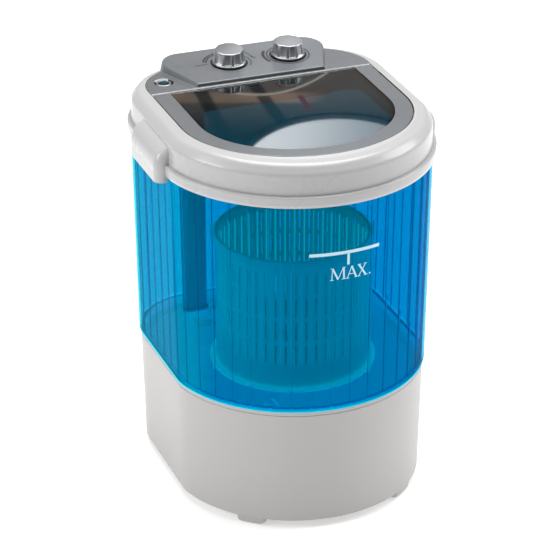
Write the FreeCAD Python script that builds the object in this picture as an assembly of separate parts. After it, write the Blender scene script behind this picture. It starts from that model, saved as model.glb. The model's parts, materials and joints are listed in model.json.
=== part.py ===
import FreeCAD
import Part
import math
import os

# Top-load mini washing machine. Millimetres, +Z up, front towards -Y.
# The origin is on the floor, under the middle of the machine's outline.

V = FreeCAD.Vector
OUT = "parts"

# ---------------------------------------------------------------- driving dimensions
# The body's outline seen from above, at its widest line, the lip of the top frame.
BODY_HALF_WIDTH = 164.0
BODY_FRONT = -182.5
BODY_BACK = 182.5
BODY_FRONT_SPREAD = 3.0
BODY_CORNER_SHORTFALL = 81.5
BODY_REAR_RADIUS = 95.0

# The recess in the top frame that the lid and the control panel share.
COVER_SIDE_INSET = 26.0
COVER_FRONT_INSET = 33.5
COVER_BACK_INSET = 22.5
COVER_FRONT_SPREAD = 9.7
COVER_CORNER_SHORTFALL = 14.6
COVER_REAR_RADIUS = 64.0

# Heights.
FOOT_HEIGHT = 9.6
BASE_TOP = 158.0
TUB_HEIGHT = 262.0
LIP_HEIGHT = 13.5
LIP_LEAD = 1.4
LIP_LEAD_HEIGHT = 3.5
LIP_ROUND = 2.0
FRAME_RISE = 36.5
SHOULDER_DROP = 11.5
CROWN_DROP = 1.9
SHOULDER_ROUND = 8.0
CROWN_ROUND = 9.0

# Offsets of each wall from the body's outline, negative inwards.
BASE_FOOT_OFFSET = -13.7
BASE_TOP_OFFSET = -10.0
TUB_FOOT_OFFSET = -8.0
TUB_TOP_OFFSET = -3.5
WALL_FOOT_OFFSET = -4.6
WALL_TOP_OFFSET = -5.4
CROWN_OFFSET = -13.0
FLAT_OFFSET = -24.0

# Walls and gaps.
BASE_WALL = 3.0
TUB_WALL = 2.6
TUB_FLOOR = 3.0
TUB_PAN_DEPTH = 11.0
FRAME_WALL = 3.0
DECK = 3.0
PANEL_WALL = 2.5
RECESS_GAP = 1.2
FIT_GAP = 0.3
SLIP = 0.05
TUCK = 0.02
SOLID_BITE = 1.0

# Base bottom, feet and screws.
PLATE = 3.0
PLATE_GAP = 0.5
SHELF = 3.0
SHELF_REACH = 13.0
FRONT_FOOT_INSET = (72.0, 58.5)
REAR_FOOT_INSET = (52.0, 51.5)
FOOT_TOP_RADIUS = 19.0
FOOT_BOTTOM_RADIUS = 17.0
FOOT_EDGE = 2.6
FOOT_INSET = 0.6
SCREW_RADIUS = 2.0
SCREW_HEAD_RADIUS = 4.0
SCREW_HEAD = 2.2
POST_RADIUS = 6.0
TUB_SCREW_SHARES = (0.0, 0.13, 0.27, 0.36, 0.64, 0.73, 0.87)
POST_INSET = 24.0
POST_SHARES = (0.17, 0.32, 0.4)
BASE_GROOVE_DROP = 6.4
BASE_GROOVE_WIDTH = 1.0
BASE_GROOVE_DEPTH = 0.5
REAR_CUT_DEPTH = 40.0
DUCT_RELIEF = 10.0
SUMP_RELIEF = 12.0
SUMP_RELIEF_GAP = 2.0
PILOT_COVER = 0.6
HEAD_CLEARANCE = 0.4
SHANK_CLEARANCE = 0.3
POST_HOLE = 16.0
FOOT_RECESS = 3.0
FOOT_BOSS = 9.0
FOOT_HOLE = 7.0
REAR_VENTS = 5
REAR_VENT_HALF = 30.0
REAR_VENT_LOW = 60.0
REAR_VENT_PITCH = 9.0
REAR_VENT_WIDTH = 3.5
PLATE_VENTS = 7
PLATE_VENT_PITCH = 14.0
PLATE_VENT_WIDTH = 5.0
PLATE_VENT_FRONT = 78.0
PLATE_VENT_BACK = 138.0

# Wash drive. The axis is where the pulsator and the spin basket turn.
AXIS_Y = -16.0
SHAFT_RADIUS = 6.0
SHAFT_RISE = 30.0
BUSH_WALL = 4.0
BUSH_LENGTH = 16.0
SLEEVE_WALL = 6.0
SLEEVE_RISE = 2.0
BEARING_FLANGE_RADIUS = 42.0
BEARING_FLANGE = 4.0
BEARING_SCREW_INSET = 8.0
WEB_THICKNESS = 3.0
WEB_HEIGHT = 32.0
BORE_CLEARANCE = 2.5
UPPER_BUSH_DROP = 30.0
SCREW_SLACK = 0.2
SEAL_TOP_GAP = 0.5
SEAL_HEIGHT = 8.0
SEAL_LIP = 2.5
SEAL_RELIEF = 1.5
SHAFT_TAP_DEPTH = 14.0
GASKET = 1.0
PULLEY_WIDTH = 14.0
PULLEY_HUB_ABOVE = 6.0
PULLEY_HUB_BELOW = 4.0
PULLEY_GAP = 4.0
NUT_HEIGHT = 7.5
DRIVEN_RADIUS = 60.0
MOTOR_PULLEY_RADIUS = 15.0
CENTRE_DISTANCE = 120.0
BELT_TOP_WIDTH = 9.0
BELT_BOTTOM_WIDTH = 5.5
BELT_DEPTH = 6.0
BELT_SINK = 1.0
GROOVE_FLOOR_GAP = 1.2
GROOVE_SIDE_GAP = 0.9
PULLEY_RIM = 4.0
PULLEY_WEB = 4.0
DRIVEN_HUB_WALL = 8.0
MOTOR_HUB_WALL = 4.0
PULLEY_HOLES = 6
PULLEY_HOLE_RING = 30.0
PULLEY_HOLE_RADIUS = 8.0
NUT_FLATS_WALL = 5.0
MOTOR_RADIUS = 46.0
MOTOR_HEIGHT = 74.0
MOTOR_NOSE = 5.0
MOTOR_SHAFT_RADIUS = 5.0
MOTOR_SHELL = 6.0
MOTOR_RIB_DEPTH = 2.0
MOTOR_RIBS = 5
MOTOR_RIB_LOW = 18.0
MOTOR_RIB_PITCH = 9.0
MOTOR_RIB_WIDTH = 4.0
MOTOR_BOSS_RADIUS = 14.0
MOTOR_BOSS_TOP = 4.0
ROTOR_GAP = 4.0
ROTOR_END_GAP = 6.0
MOTOR_SHAFT_BELOW = 4.0
BRACKET_ROUND = 10.0
BOSS_SLACK = 0.2
GROMMET_GROOVE = 3.0
MOTOR_SCREW_HEAD_RADIUS = 5.0
BRACKET = 2.5
BRACKET_MARGIN = 12.0
GROMMET_RADIUS = 8.0
GROMMET_CLEARANCE = 4.0
GROMMET_SLANT = (20.0, 21.0)
GROMMET_HEIGHT = 18.5
GROMMET_LIP = 3.0

CAPACITOR_GAP = 19.0
CAPACITOR_Y = 10.0
CAPACITOR_RADIUS = 17.0
CAPACITOR_HEIGHT = 58.0
CAPACITOR_EDGE = 2.0
SPADE_SPREAD = 6.0
SPADE_LENGTH = 9.0
SPADE_HALF = 3.0
SPADE_THICKNESS = 0.8
CLAMP_LOW = 22.0
CLAMP_HEIGHT = 12.0
CLAMP_WALL = 2.0
CLAMP_EAR = 2.4
CLAMP_REACH = 14.0
CLAMP_LEG = 4.0
CLAMP_LEG_HALF = 6.0

# Pulsator and spin basket.
PULSATOR_LIFT = 4.0
PULSATOR_DISC = 4.0
PULSATOR_FIN_HEIGHT = 12.0
PULSATOR_FINS = 4
PULSATOR_BEVEL = 2.2
PULSATOR_EDGE_INSET = 6.0
PULSATOR_LIP = 0.4
PULSATOR_LIP_WIDTH = 2.0
PULSATOR_DISH = 0.6
PULSATOR_CONE_FOOT = 34.0
PULSATOR_CONE_TOP = 20.0
PULSATOR_CONE_RISE = 5.0
PULSATOR_FIN_TURN = 20.0
FIN_FOOT = 12.0
FIN_CREST = 4.0
FIN_START = 16.0
FIN_SLOPE = 12.0
FIN_DROP = 3.0
FIN_BITE = 1.5
WATER_HOLE = 2.2
WATER_HOLE_TURN = 0.35
WATER_HOLE_RINGS = ((40.0, 8), (20.0, 12))
HUB_SCREW_RADIUS = 2.5
HUB_SCREW_SLACK = 0.1
HUB_SCREW_HEAD = 5.2
HUB_SCREW_HEAD_GAP = 0.8
HUB_SCREW_HEAD_HEIGHT = 3.0
HUB_SCREW_RECESS = 4.0
HUB_SCREW_DEPTH = 12.0
HUB_SCREW_CROSS = 6.4
HUB_SCREW_CROSS_WIDTH = 1.2
HUB_SCREW_CROSS_DEPTH = 1.4
HUB_FLATS = 24.0
HUB_CAP = 8.0
BASKET_RADIUS = 92.0
BASKET_WALL = 2.2
PULSATOR_CLEARANCE = 5.8
BASKET_LIFT = 2.5
BASKET_HEIGHT = 167.0
BASKET_FLOOR_RISE = 25.5
BASKET_FLOOR_THICKNESS = 2.5
BASKET_BOSS_WALL = 6.5
BASKET_FLANGE_REACH = 7.5
BASKET_RIM_HEIGHT = 13.0
BASKET_WALL_IN_RIM = 3.0
FLANGE_THICKNESS = 2.2
FLANGE_LIP = 3.4
FLANGE_LIP_WIDTH = 1.6
FLANGE_ROOT = 1.2
FLANGE_ROOT_HEIGHT = 7.0
BOSS_TOP_WALL = 3.5
BOSS_BELOW = 4.0
FLOOR_BITE = 0.5
FLOOR_HOLE = 3.0
FLOOR_HOLE_RINGS = ((22.0, 18), (40.0, 12), (58.0, 8))
NOTCHES = 12
NOTCH_WIDTH = 4.4
NOTCH_DEPTH = 3.2
NOTCH_TURN = 8.0
RIM_OUT = 2.0
RIM_IN = 0.6
RIM_EDGE = 1.5
RIM_INNER_EDGE = 1.8
RIM_SLACK = 0.1
SLOT_COLUMNS = 48
SLOT_ROWS = 4
SLOT_WIDTH = 1.8
SLOT_GAP = 6.0
SLOT_MARGIN = 5.0
RIB_COUNT = 46
RIB_WIDTH = 3.0
RIB_DEPTH = 1.8
RIB_CREST_SHARE = 0.7
RIB_BITE = 0.6
RIB_TOP_DROP = 14.0

# Lid and its hinge.
LID_BAND = 20.7
HINGE_RADIUS = 3.2
HINGE_UNDER_GAP = 0.6
LID_UNDER_GAP = 0.8
HINGE_SETBACK = 77.4
HINGE_PIN_RADIUS = 2.0
HINGE_PIN_LENGTH = 12.0
HINGE_PIN_REACH = 2.6
HINGE_BORE_GAP = 1.2
LID_EDGE = 1.2
WINDOW_GAP = 0.15
BARREL_END_GAP = 0.2
WINDOW = 3.0
WINDOW_SINK = 0.9
WINDOW_LEDGE = 3.4
BUFFER_RADIUS = 4.0
BUFFER_GAP = 0.2
BUFFER_X = 62.0
BUFFER_SETBACK = 22.0
WASH_OPENING_INSET = 14.0
WASH_OPENING_BEHIND_HINGE = 1.4
COLLAR = 2.5
COLLAR_DEPTH = 20.0
WASH_OPENING_ROUND = 18.0

# Control panel: a wedge with a sloping top between two flat wings.
PANEL_GAP = 0.5
BLOCK_SETBACK = 1.5
BLOCK_FRONT_SIDE_INSET = 58.5
BLOCK_BACK_SIDE_INSET = 50.8
BLOCK_BACK_INSET = 4.9
BLOCK_EDGE_TRIM = 1.05
BLOCK_SINK = 0.5
BLOCK_FRONT_RISE = 4.5
BLOCK_BACK_RISE = 10.0
BLOCK_CORNER = 26.0
FLANK = 2.5
SHELF_DROP = 0.9
SHELF_DEPTH = 14.0
SHELF_LEAD = 20.0
BLOCK_EDGE = 1.8
PANEL_LIFT = 0.2
PANEL_POST_RADIUS = 4.5
PANEL_POST_TOP = 1.0
PANEL_SKIN = 2.0
FRONT_SCREW_INSET = (14.0, 13.4)
LEFT_SCREW_INSET = (38.0, 15.0)
RIGHT_SCREW_INSET = (26.0, 28.0)
KNOB_SETBACK = 45.1
SELECTOR_X = -25.0
TIMER_X = 50.3
KNOB_RADIUS = 20.5
KNOB_HEIGHT = 18.2
KNOB_SKIRT = 2.4
KNOB_LONG_INSET = 4.3
KNOB_SHORT_INSET = 5.7
KNOB_POCKETS = 10
KNOB_POCKET_DEPTH = 0.9
KNOB_POCKET_WIDTH = 6.2
KNOB_POCKET_HEIGHT = 11.0
KNOB_POCKET_DROP = 0.1
KNOB_STEP = 0.6
KNOB_EDGE = 1.0
KNOB_SOCKET = 12.0
POINTER_INSET = 2.5
POINTER_LENGTH = 6.0
POINTER_WIDTH = 1.6
POINTER_DEPTH = 0.6
SELECTOR_TURN = 68.0
TIMER_TURN = 160.0
WELL_CLEARANCE = 2.3
WELL_DEPTH = 1.8
STEM_CLEARANCE = 1.5
BEZEL_GAP = 0.2
BEZEL = 0.8
KNOB_LIFT = 0.4
STEM_RADIUS = 3.0
SWITCH_RADIUS = 21.0
SWITCH_DEPTH = 24.0
SWITCH_DROP = 1.5
SWITCH_PLATE = 2.0
SWITCH_EAR = 6.0
SWITCH_EAR_HALF = 9.0
SWITCH_SQUARE_SHARE = 0.8
STEM_DROP = 8.0
TERMINAL_ROW = (-12.0, -4.0, 4.0, 12.0)
TERMINAL_LENGTH = 6.0
BOX_ROUND = 8.0
BOX_SIDE_INSET = 68.0
BOX_BEHIND_HINGE = 9.4
BOX_BACK_INSET = 18.5
BOX_WALL = 2.0
BOX_DEPTH = 26.0
BOX_LEDGE = 6.0

# Water in, water out, and the wiring.
INLET_INSET = (25.0, 43.0)
INLET_BORE = 7.0
INLET_TUBE_RADIUS = 9.0
INLET_RADIUS = 12.0
INLET_LENGTH = 22.0
INLET_SINK = 0.6
INLET_FLANGE = 3.0
INLET_SLEEVE_WALL = 2.0
INLET_EDGE = 0.6
GRILLE_REACH = 5.0
GRILLE_THICKNESS = 2.0
GRILLE_RING_WALL = 2.0
GRILLE_SLOTS = 5
GRILLE_PITCH = 7.0
GRILLE_SLOT = 3.0
SUMP_FLANGE_REACH = 6.0
SUMP_FLANGE = 3.0
DRAIN_INSET = (79.0, 70.5)
DRAIN_RADIUS = 20.0
SUMP_RADIUS = 24.0
SUMP_WALL = 2.5
SUMP_DEPTH = 41.0
OUTLET_DROP = 25.0
OUTLET_POCKET_HALF = 18.0
OUTLET_POCKET_DEPTH = 14.0
OUTLET_RADIUS = 11.0
OUTLET_WALL = 2.5
OUTLET_END_INSET = 1.0
OUTLET_STEM_RADIUS = 12.5
GLAND_X = -45.0
GLAND_HEIGHT = 45.0
GLAND_RADIUS = 8.0
GLAND_HOLE = 4.0
GLAND_INSIDE = 6.0
GLAND_OUTSIDE = 4.0
GLAND_FLANGE = 3.0
DUCT_BACK_INSET = 36.5
DUCT_BRACKET_GAP = 1.0
DUCT_WIDTH = 30.0
DUCT_THICKNESS = 15.0
DUCT_WALL = 2.0
DUCT_BELOW_FLOOR = 6.0
DUCT_COLLAR = 3.0
DUCT_COLLAR_REACH = 2.0
HARNESS_ABOVE_DUCT = 6.0
HARNESS_RADIUS = 3.5
HARNESS_DROP = 20.0
HARNESS_RUN = 30.0
HARNESS_TURN = 0.45
TERMINAL_BLOCK = (24.0, 18.0, 27.0)
TERMINAL_WELL = 2.0
TERMINAL_WELL_DEPTH = 6.0
TERMINAL_WELL_PITCH = 7.0

# Hand grips on both sides of the top frame.
GRIP_SETBACK = 1.8159
GRIP_LENGTH = 98.0
GRIP_REACH = 11.0
GRIP_DROP = 21.5
GRIP_RISE = 21.5
GRIP_KNEE_DROP = 7.5
GRIP_SWELL = 3.4
GRIP_ROOT_OFFSET = -5.6
GRIP_WALL = 2.5
GRIP_ROUND = 10.0

# ---------------------------------------------------------------- worked-out values
BODY_FRONT_RADIUS = BODY_HALF_WIDTH + BODY_FRONT_SPREAD
BODY_CORNER_RADIUS = BODY_HALF_WIDTH - BODY_CORNER_SHORTFALL
COVER_HALF_WIDTH = BODY_HALF_WIDTH - COVER_SIDE_INSET
COVER_FRONT = BODY_FRONT + COVER_FRONT_INSET
COVER_BACK = BODY_BACK - COVER_BACK_INSET
COVER_FRONT_RADIUS = COVER_HALF_WIDTH + COVER_FRONT_SPREAD
COVER_CORNER_RADIUS = COVER_HALF_WIDTH - COVER_CORNER_SHORTFALL
BASE_BOTTOM = FOOT_HEIGHT
FRONT_FOOT = (BODY_HALF_WIDTH - FRONT_FOOT_INSET[0], BODY_FRONT + FRONT_FOOT_INSET[1])
REAR_FOOT = (BODY_HALF_WIDTH - REAR_FOOT_INSET[0], BODY_BACK - REAR_FOOT_INSET[1])
TUB_TOP = BASE_TOP + TUB_HEIGHT
LIP_TOP = TUB_TOP + LIP_HEIGHT
COVER_PLANE = LIP_TOP + FRAME_RISE
TUB_FLOOR_BOTTOM = BASE_TOP - TUB_PAN_DEPTH
TUB_FLOOR_TOP = TUB_FLOOR_BOTTOM + TUB_FLOOR
TUB_RIM = LIP_TOP - FRAME_WALL
SHOULDER = COVER_PLANE - SHOULDER_DROP
CROWN = COVER_PLANE - CROWN_DROP
DECK_DEPTH = 2 * HINGE_RADIUS + HINGE_UNDER_GAP
LID_THICKNESS = DECK_DEPTH - LID_UNDER_GAP
DECK_TOP = COVER_PLANE - DECK_DEPTH
DECK_BOTTOM = DECK_TOP - DECK
HINGE_Y = COVER_BACK - HINGE_SETBACK
HINGE_Z = COVER_PLANE - HINGE_RADIUS
WASH_OPENING_BACK = HINGE_Y + WASH_OPENING_BEHIND_HINGE
BUFFER_Y = COVER_FRONT + BUFFER_SETBACK
GRIP_OUT = BODY_HALF_WIDTH + GRIP_REACH
GRIP_BOTTOM = LIP_TOP - GRIP_DROP
GRIP_TOP = LIP_TOP + GRIP_RISE
GRIP_KNEE = LIP_TOP - GRIP_KNEE_DROP
LID_BOTTOM = COVER_PLANE - LID_THICKNESS
MOTOR_Y = AXIS_Y + CENTRE_DISTANCE
GROMMET_REACH = MOTOR_RADIUS + GROMMET_RADIUS + GROMMET_CLEARANCE
GROMMET_X = GROMMET_REACH * GROMMET_SLANT[0] / math.hypot(*GROMMET_SLANT)
GROMMET_Y = GROMMET_REACH * GROMMET_SLANT[1] / math.hypot(*GROMMET_SLANT)
DUCT_X = -GROMMET_X - BRACKET_MARGIN - DUCT_BRACKET_GAP - DUCT_WIDTH / 2
BRACKET_LOW = TUB_FLOOR_BOTTOM - GROMMET_HEIGHT - BRACKET
MOTOR_BOTTOM = BRACKET_LOW - MOTOR_HEIGHT
PULLEY_TOP = MOTOR_BOTTOM - MOTOR_NOSE - PULLEY_GAP
PULLEY_BOTTOM = PULLEY_TOP - PULLEY_WIDTH
SLEEVE_BOTTOM = PULLEY_TOP + PULLEY_HUB_ABOVE + PULLEY_GAP
NUT_TOP = PULLEY_BOTTOM - PULLEY_HUB_BELOW
SHAFT_BOTTOM = NUT_TOP - NUT_HEIGHT - 1.0
SHAFT_TOP = TUB_FLOOR_TOP + SHAFT_RISE
HUB_TOP = SHAFT_TOP + HUB_CAP
BASKET_BOTTOM = TUB_FLOOR_TOP + BASKET_LIFT
BASKET_TOP = BASKET_BOTTOM + BASKET_HEIGHT
BASKET_FLOOR = BASKET_BOTTOM + BASKET_FLOOR_RISE
BLOCK_FRONT_HALF = COVER_HALF_WIDTH - BLOCK_FRONT_SIDE_INSET
BLOCK_BACK_HALF = BODY_HALF_WIDTH - BLOCK_BACK_SIDE_INSET
BLOCK_BACK = BODY_BACK - BLOCK_BACK_INSET
KNOB_Y = BLOCK_BACK - KNOB_SETBACK
KNOB_TOP_LONG = KNOB_RADIUS - KNOB_LONG_INSET
KNOB_TOP_SHORT = KNOB_RADIUS - KNOB_SHORT_INSET
WELL_RADIUS = KNOB_RADIUS + WELL_CLEARANCE
BOX_HALF = BODY_HALF_WIDTH - BOX_SIDE_INSET
BOX_FRONT = HINGE_Y + BOX_BEHIND_HINGE
BOX_BACK = BODY_BACK - BOX_BACK_INSET
INLET = (INLET_INSET[0] - COVER_HALF_WIDTH, COVER_BACK - INLET_INSET[1])
DRAIN = (BODY_HALF_WIDTH - DRAIN_INSET[0], BODY_BACK - DRAIN_INSET[1])
DUCT_Y = BODY_BACK - DUCT_BACK_INSET
CAPACITOR = (-DRIVEN_RADIUS - CAPACITOR_GAP - CAPACITOR_RADIUS, CAPACITOR_Y)
BASKET_FLANGE_RADIUS = BASKET_RADIUS + BASKET_FLANGE_REACH
PULSATOR_RADIUS = BASKET_RADIUS - BASKET_WALL - PULSATOR_CLEARANCE
PANEL_FRONT = HINGE_Y + HINGE_RADIUS + PANEL_GAP
BLOCK_FRONT = PANEL_FRONT + BLOCK_SETBACK
BLOCK_SLOPE = (BLOCK_BACK_RISE - BLOCK_FRONT_RISE) / (BLOCK_BACK - BLOCK_FRONT)
BLOCK_SPLAY = (BLOCK_BACK_HALF - BLOCK_FRONT_HALF) / (BLOCK_BACK - BLOCK_FRONT)
BLOCK_TILT = math.atan(BLOCK_SLOPE)
PANEL_NORMAL = V(0, -math.sin(BLOCK_TILT), math.cos(BLOCK_TILT))
BASE_TAPER = (BASE_TOP_OFFSET - BASE_FOOT_OFFSET) / (BASE_TOP - BASE_BOTTOM)
PAN_OFFSET = BASE_TOP_OFFSET - TUB_PAN_DEPTH * BASE_TAPER - BASE_WALL - FIT_GAP
SUMP_BOTTOM = TUB_FLOOR_BOTTOM - SUMP_DEPTH
OUTLET_HEIGHT = TUB_FLOOR_BOTTOM - OUTLET_DROP
OUTLET_END = BODY_BACK - OUTLET_END_INSET
SLEEVE_BORE = SHAFT_RADIUS + BUSH_WALL
SLEEVE_RADIUS = SLEEVE_BORE + SLEEVE_WALL
SLEEVE_TOP = TUB_FLOOR_TOP + SLEEVE_RISE
UPPER_BUSH = TUB_FLOOR_BOTTOM - GASKET - UPPER_BUSH_DROP


# ---------------------------------------------------------------- outlines
class Outline:
    """A D seen from above: front arc, corner arcs, straight sides, round rear corners, straight back."""

    def __init__(self, half_width, front, front_radius, corner_radius, back, rear_radius):
        self.half_width = half_width
        self.front_radius = front_radius
        self.corner_radius = corner_radius
        self.rear_radius = rear_radius
        self.back = back
        self.front_centre = (0.0, front + front_radius)
        corner_x = half_width - corner_radius
        reach = front_radius - corner_radius
        corner_y = self.front_centre[1] - math.sqrt(reach**2 - corner_x**2)
        self.corner_centre = (corner_x, corner_y)
        self.rear_centre = (half_width - rear_radius, back - rear_radius)
        self.turn = math.atan2(corner_y - self.front_centre[1], corner_x)

    def spans(self):
        """Right half, front middle to back middle: arcs as (centre, radius, from, to), lines as points."""
        side = self.half_width
        return [
            ("arc", self.front_centre, self.front_radius, -math.pi / 2, self.turn),
            ("arc", self.corner_centre, self.corner_radius, self.turn, 0.0),
            ("line", (side, self.corner_centre[1]), (side, self.rear_centre[1]), (1.0, 0.0)),
            ("arc", self.rear_centre, self.rear_radius, 0.0, math.pi / 2),
            ("line", (self.rear_centre[0], self.back), (0.0, self.back), (0.0, 1.0)),
        ]

    def wire(self, offset, z):
        """The closed outline moved outwards by offset, at height z."""

        def arc(centre, radius, start, end):
            spots = [start, (start + end) / 2, end]
            points = [
                V(centre[0] + radius * math.cos(a), centre[1] + radius * math.sin(a), z)
                for a in spots
            ]
            return Part.Arc(*points).toShape()

        turn = self.turn
        half = math.pi / 2
        front = arc(self.front_centre, self.front_radius + offset, -math.pi - turn, turn)
        corner = self.corner_radius + offset
        rear = self.rear_radius + offset
        cx, cy = self.corner_centre
        rx, ry = self.rear_centre
        side = self.half_width + offset
        back = self.back + offset
        edges = [
            front,
            arc((cx, cy), corner, turn, 0.0),
            Part.makeLine(V(side, cy, z), V(side, ry, z)),
            arc((rx, ry), rear, 0.0, half),
            Part.makeLine(V(rx, back, z), V(-rx, back, z)),
            arc((-rx, ry), rear, half, 2 * half),
            Part.makeLine(V(-side, ry, z), V(-side, cy, z)),
            arc((-cx, cy), corner, math.pi, math.pi - turn),
        ]
        return Part.Wire(edges)

    def prism(self, offset, low, high):
        return Part.Face(self.wire(offset, low)).extrude(V(0, 0, high - low))

    def taper(self, rings):
        """A solid through several (offset, z) rings."""
        return Part.makeLoft([self.wire(o, z) for o, z in rings], True, True)

    def length(self):
        return 2 * sum(self._span_length(s) for s in self.spans())

    @staticmethod
    def _span_length(span):
        if span[0] == "arc":
            return span[2] * (span[4] - span[3])
        return math.dist(span[1], span[2])

    def point(self, distance):
        """The point and the outward normal at a distance along the outline from the front middle."""
        half = self.length() / 2
        mirrored = distance > half
        left = 2 * half - distance if mirrored else distance
        for span in self.spans():
            run = self._span_length(span)
            if left <= run + 1e-9:
                break
            left -= run
        if span[0] == "arc":
            angle = span[3] + left / span[2]
            normal = (math.cos(angle), math.sin(angle))
            spot = (span[1][0] + span[2] * normal[0], span[1][1] + span[2] * normal[1])
        else:
            share = left / run
            spot = tuple(a + (b - a) * share for a, b in zip(span[1], span[2]))
            normal = span[3]
        sign = -1.0 if mirrored else 1.0
        return (sign * spot[0], spot[1]), (sign * normal[0], normal[1])


BODY = Outline(
    BODY_HALF_WIDTH,
    BODY_FRONT,
    BODY_FRONT_RADIUS,
    BODY_CORNER_RADIUS,
    BODY_BACK,
    BODY_REAR_RADIUS,
)
COVER = Outline(
    COVER_HALF_WIDTH,
    COVER_FRONT,
    COVER_FRONT_RADIUS,
    COVER_CORNER_RADIUS,
    COVER_BACK,
    COVER_REAR_RADIUS,
)

# The grips start where the body's straight side starts.
GRIP_FRONT = BODY.corner_centre[1] + GRIP_SETBACK
GRIP_BACK = GRIP_FRONT + GRIP_LENGTH


# ---------------------------------------------------------------- small helpers
def box(x0, x1, y0, y1, z0, z1):
    return Part.makeBox(x1 - x0, y1 - y0, z1 - z0, V(x0, y0, z0))


def rod(radius, low, high, x=0.0, y=0.0):
    """A cylinder that stands along Z."""
    return Part.makeCylinder(radius, high - low, V(x, y, low))


def tube(outer, inner, low, high, x=0.0, y=0.0):
    return rod(outer, low, high, x, y).cut(rod(inner, low, high, x, y))


def cross_rod(radius, start, end, x, z):
    """A cylinder that lies along Y."""
    return Part.makeCylinder(radius, end - start, V(x, start, z), V(0, 1, 0))


def polygon(points):
    return Part.Wire(Part.makePolygon([V(*p) for p in [*points, points[0]]]))


def turned(profile, x=0.0, y=0.0):
    """A solid of revolution about a vertical axis, from (radius, z) points."""
    face = Part.Face(polygon([(r, 0, z) for r, z in profile]))
    solid = face.revolve(V(0, 0, 0), V(0, 0, 1), 360)
    solid.translate(V(x, y, 0))
    return solid


def hexagon(flats, low, high, x=0.0, y=0.0):
    reach = flats / 2 / math.cos(math.pi / 6)
    corners = [
        (x + reach * math.cos(k * math.pi / 3), y + reach * math.sin(k * math.pi / 3), low)
        for k in range(6)
    ]
    return Part.Face(polygon(corners)).extrude(V(0, 0, high - low))


def edges_at(shape, z):
    """The edges that lie level at height z."""
    return [e for e in shape.Edges if abs(e.BoundBox.ZMin - z) < 0.1 and abs(e.BoundBox.ZMax - z) < 0.1]


def joined(first, *others):
    return first.fuse(list(others)).removeSplitter()


def ring_spot(radius, angle):
    """A point on a circle about the drive's axis."""
    return radius * math.cos(angle), AXIS_Y + radius * math.sin(angle)


def mirrored_pairs(spots):
    return [(side * x, y) for x, y in spots for side in (-1, 1)]


def solids_of(shape):
    return shape.Solids


def group(shapes):
    return Part.makeCompound([s for shape in shapes for s in solids_of(shape)])


def screw(x, y, head_low, tip, head_radius=SCREW_HEAD_RADIUS, radius=SCREW_RADIUS):
    """A pan-head screw driven upwards: its head starts at head_low and its point is at tip."""
    head = rod(head_radius, head_low, head_low + SCREW_HEAD, x, y)
    shank = rod(radius, head_low + SCREW_HEAD, tip, x, y)
    slot_half = head_radius * 0.7
    slot = box(x - slot_half, x + slot_half, y - 0.5, y + 0.5, head_low, head_low + 0.9)
    return head.fuse(shank).cut(slot)


def panel_point(x, y, rise=0.0):
    """A point on the sloping top of the control panel, moved along its normal by rise."""
    z = COVER_PLANE + BLOCK_FRONT_RISE + BLOCK_SLOPE * (y - BLOCK_FRONT)
    return V(x, y, z) + PANEL_NORMAL * rise


def panel_rod(radius, x, low, high):
    """A cylinder square to the sloping top, between two heights above it, on a knob's axis."""
    return Part.makeCylinder(radius, high - low, panel_point(x, KNOB_Y, low), PANEL_NORMAL)


# ---------------------------------------------------------------- base
def base_wall_offset(z):
    return BASE_FOOT_OFFSET + (z - BASE_BOTTOM) * BASE_TAPER


def post_spots():
    spots = []
    for share in POST_SHARES:
        (x, y), (nx, ny) = BODY.point(share * BODY.length())
        spots.append((x - POST_INSET * nx, y - POST_INSET * ny))
    return mirrored_pairs(spots)


def pocket_floor():
    """How far back the floor of the outlet's pocket is."""
    return BODY_BACK + base_wall_offset(OUTLET_HEIGHT) - OUTLET_POCKET_DEPTH


def outlet_pocket(grow):
    """The box-shaped pocket in the rear wall round the outlet, grown by grow on every closed side."""
    half = OUTLET_POCKET_HALF + grow
    x = DRAIN[0]
    low, high = OUTLET_HEIGHT - half, OUTLET_HEIGHT + half
    return box(x - half, x + half, pocket_floor() - grow, BODY_BACK, low, high)


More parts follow.
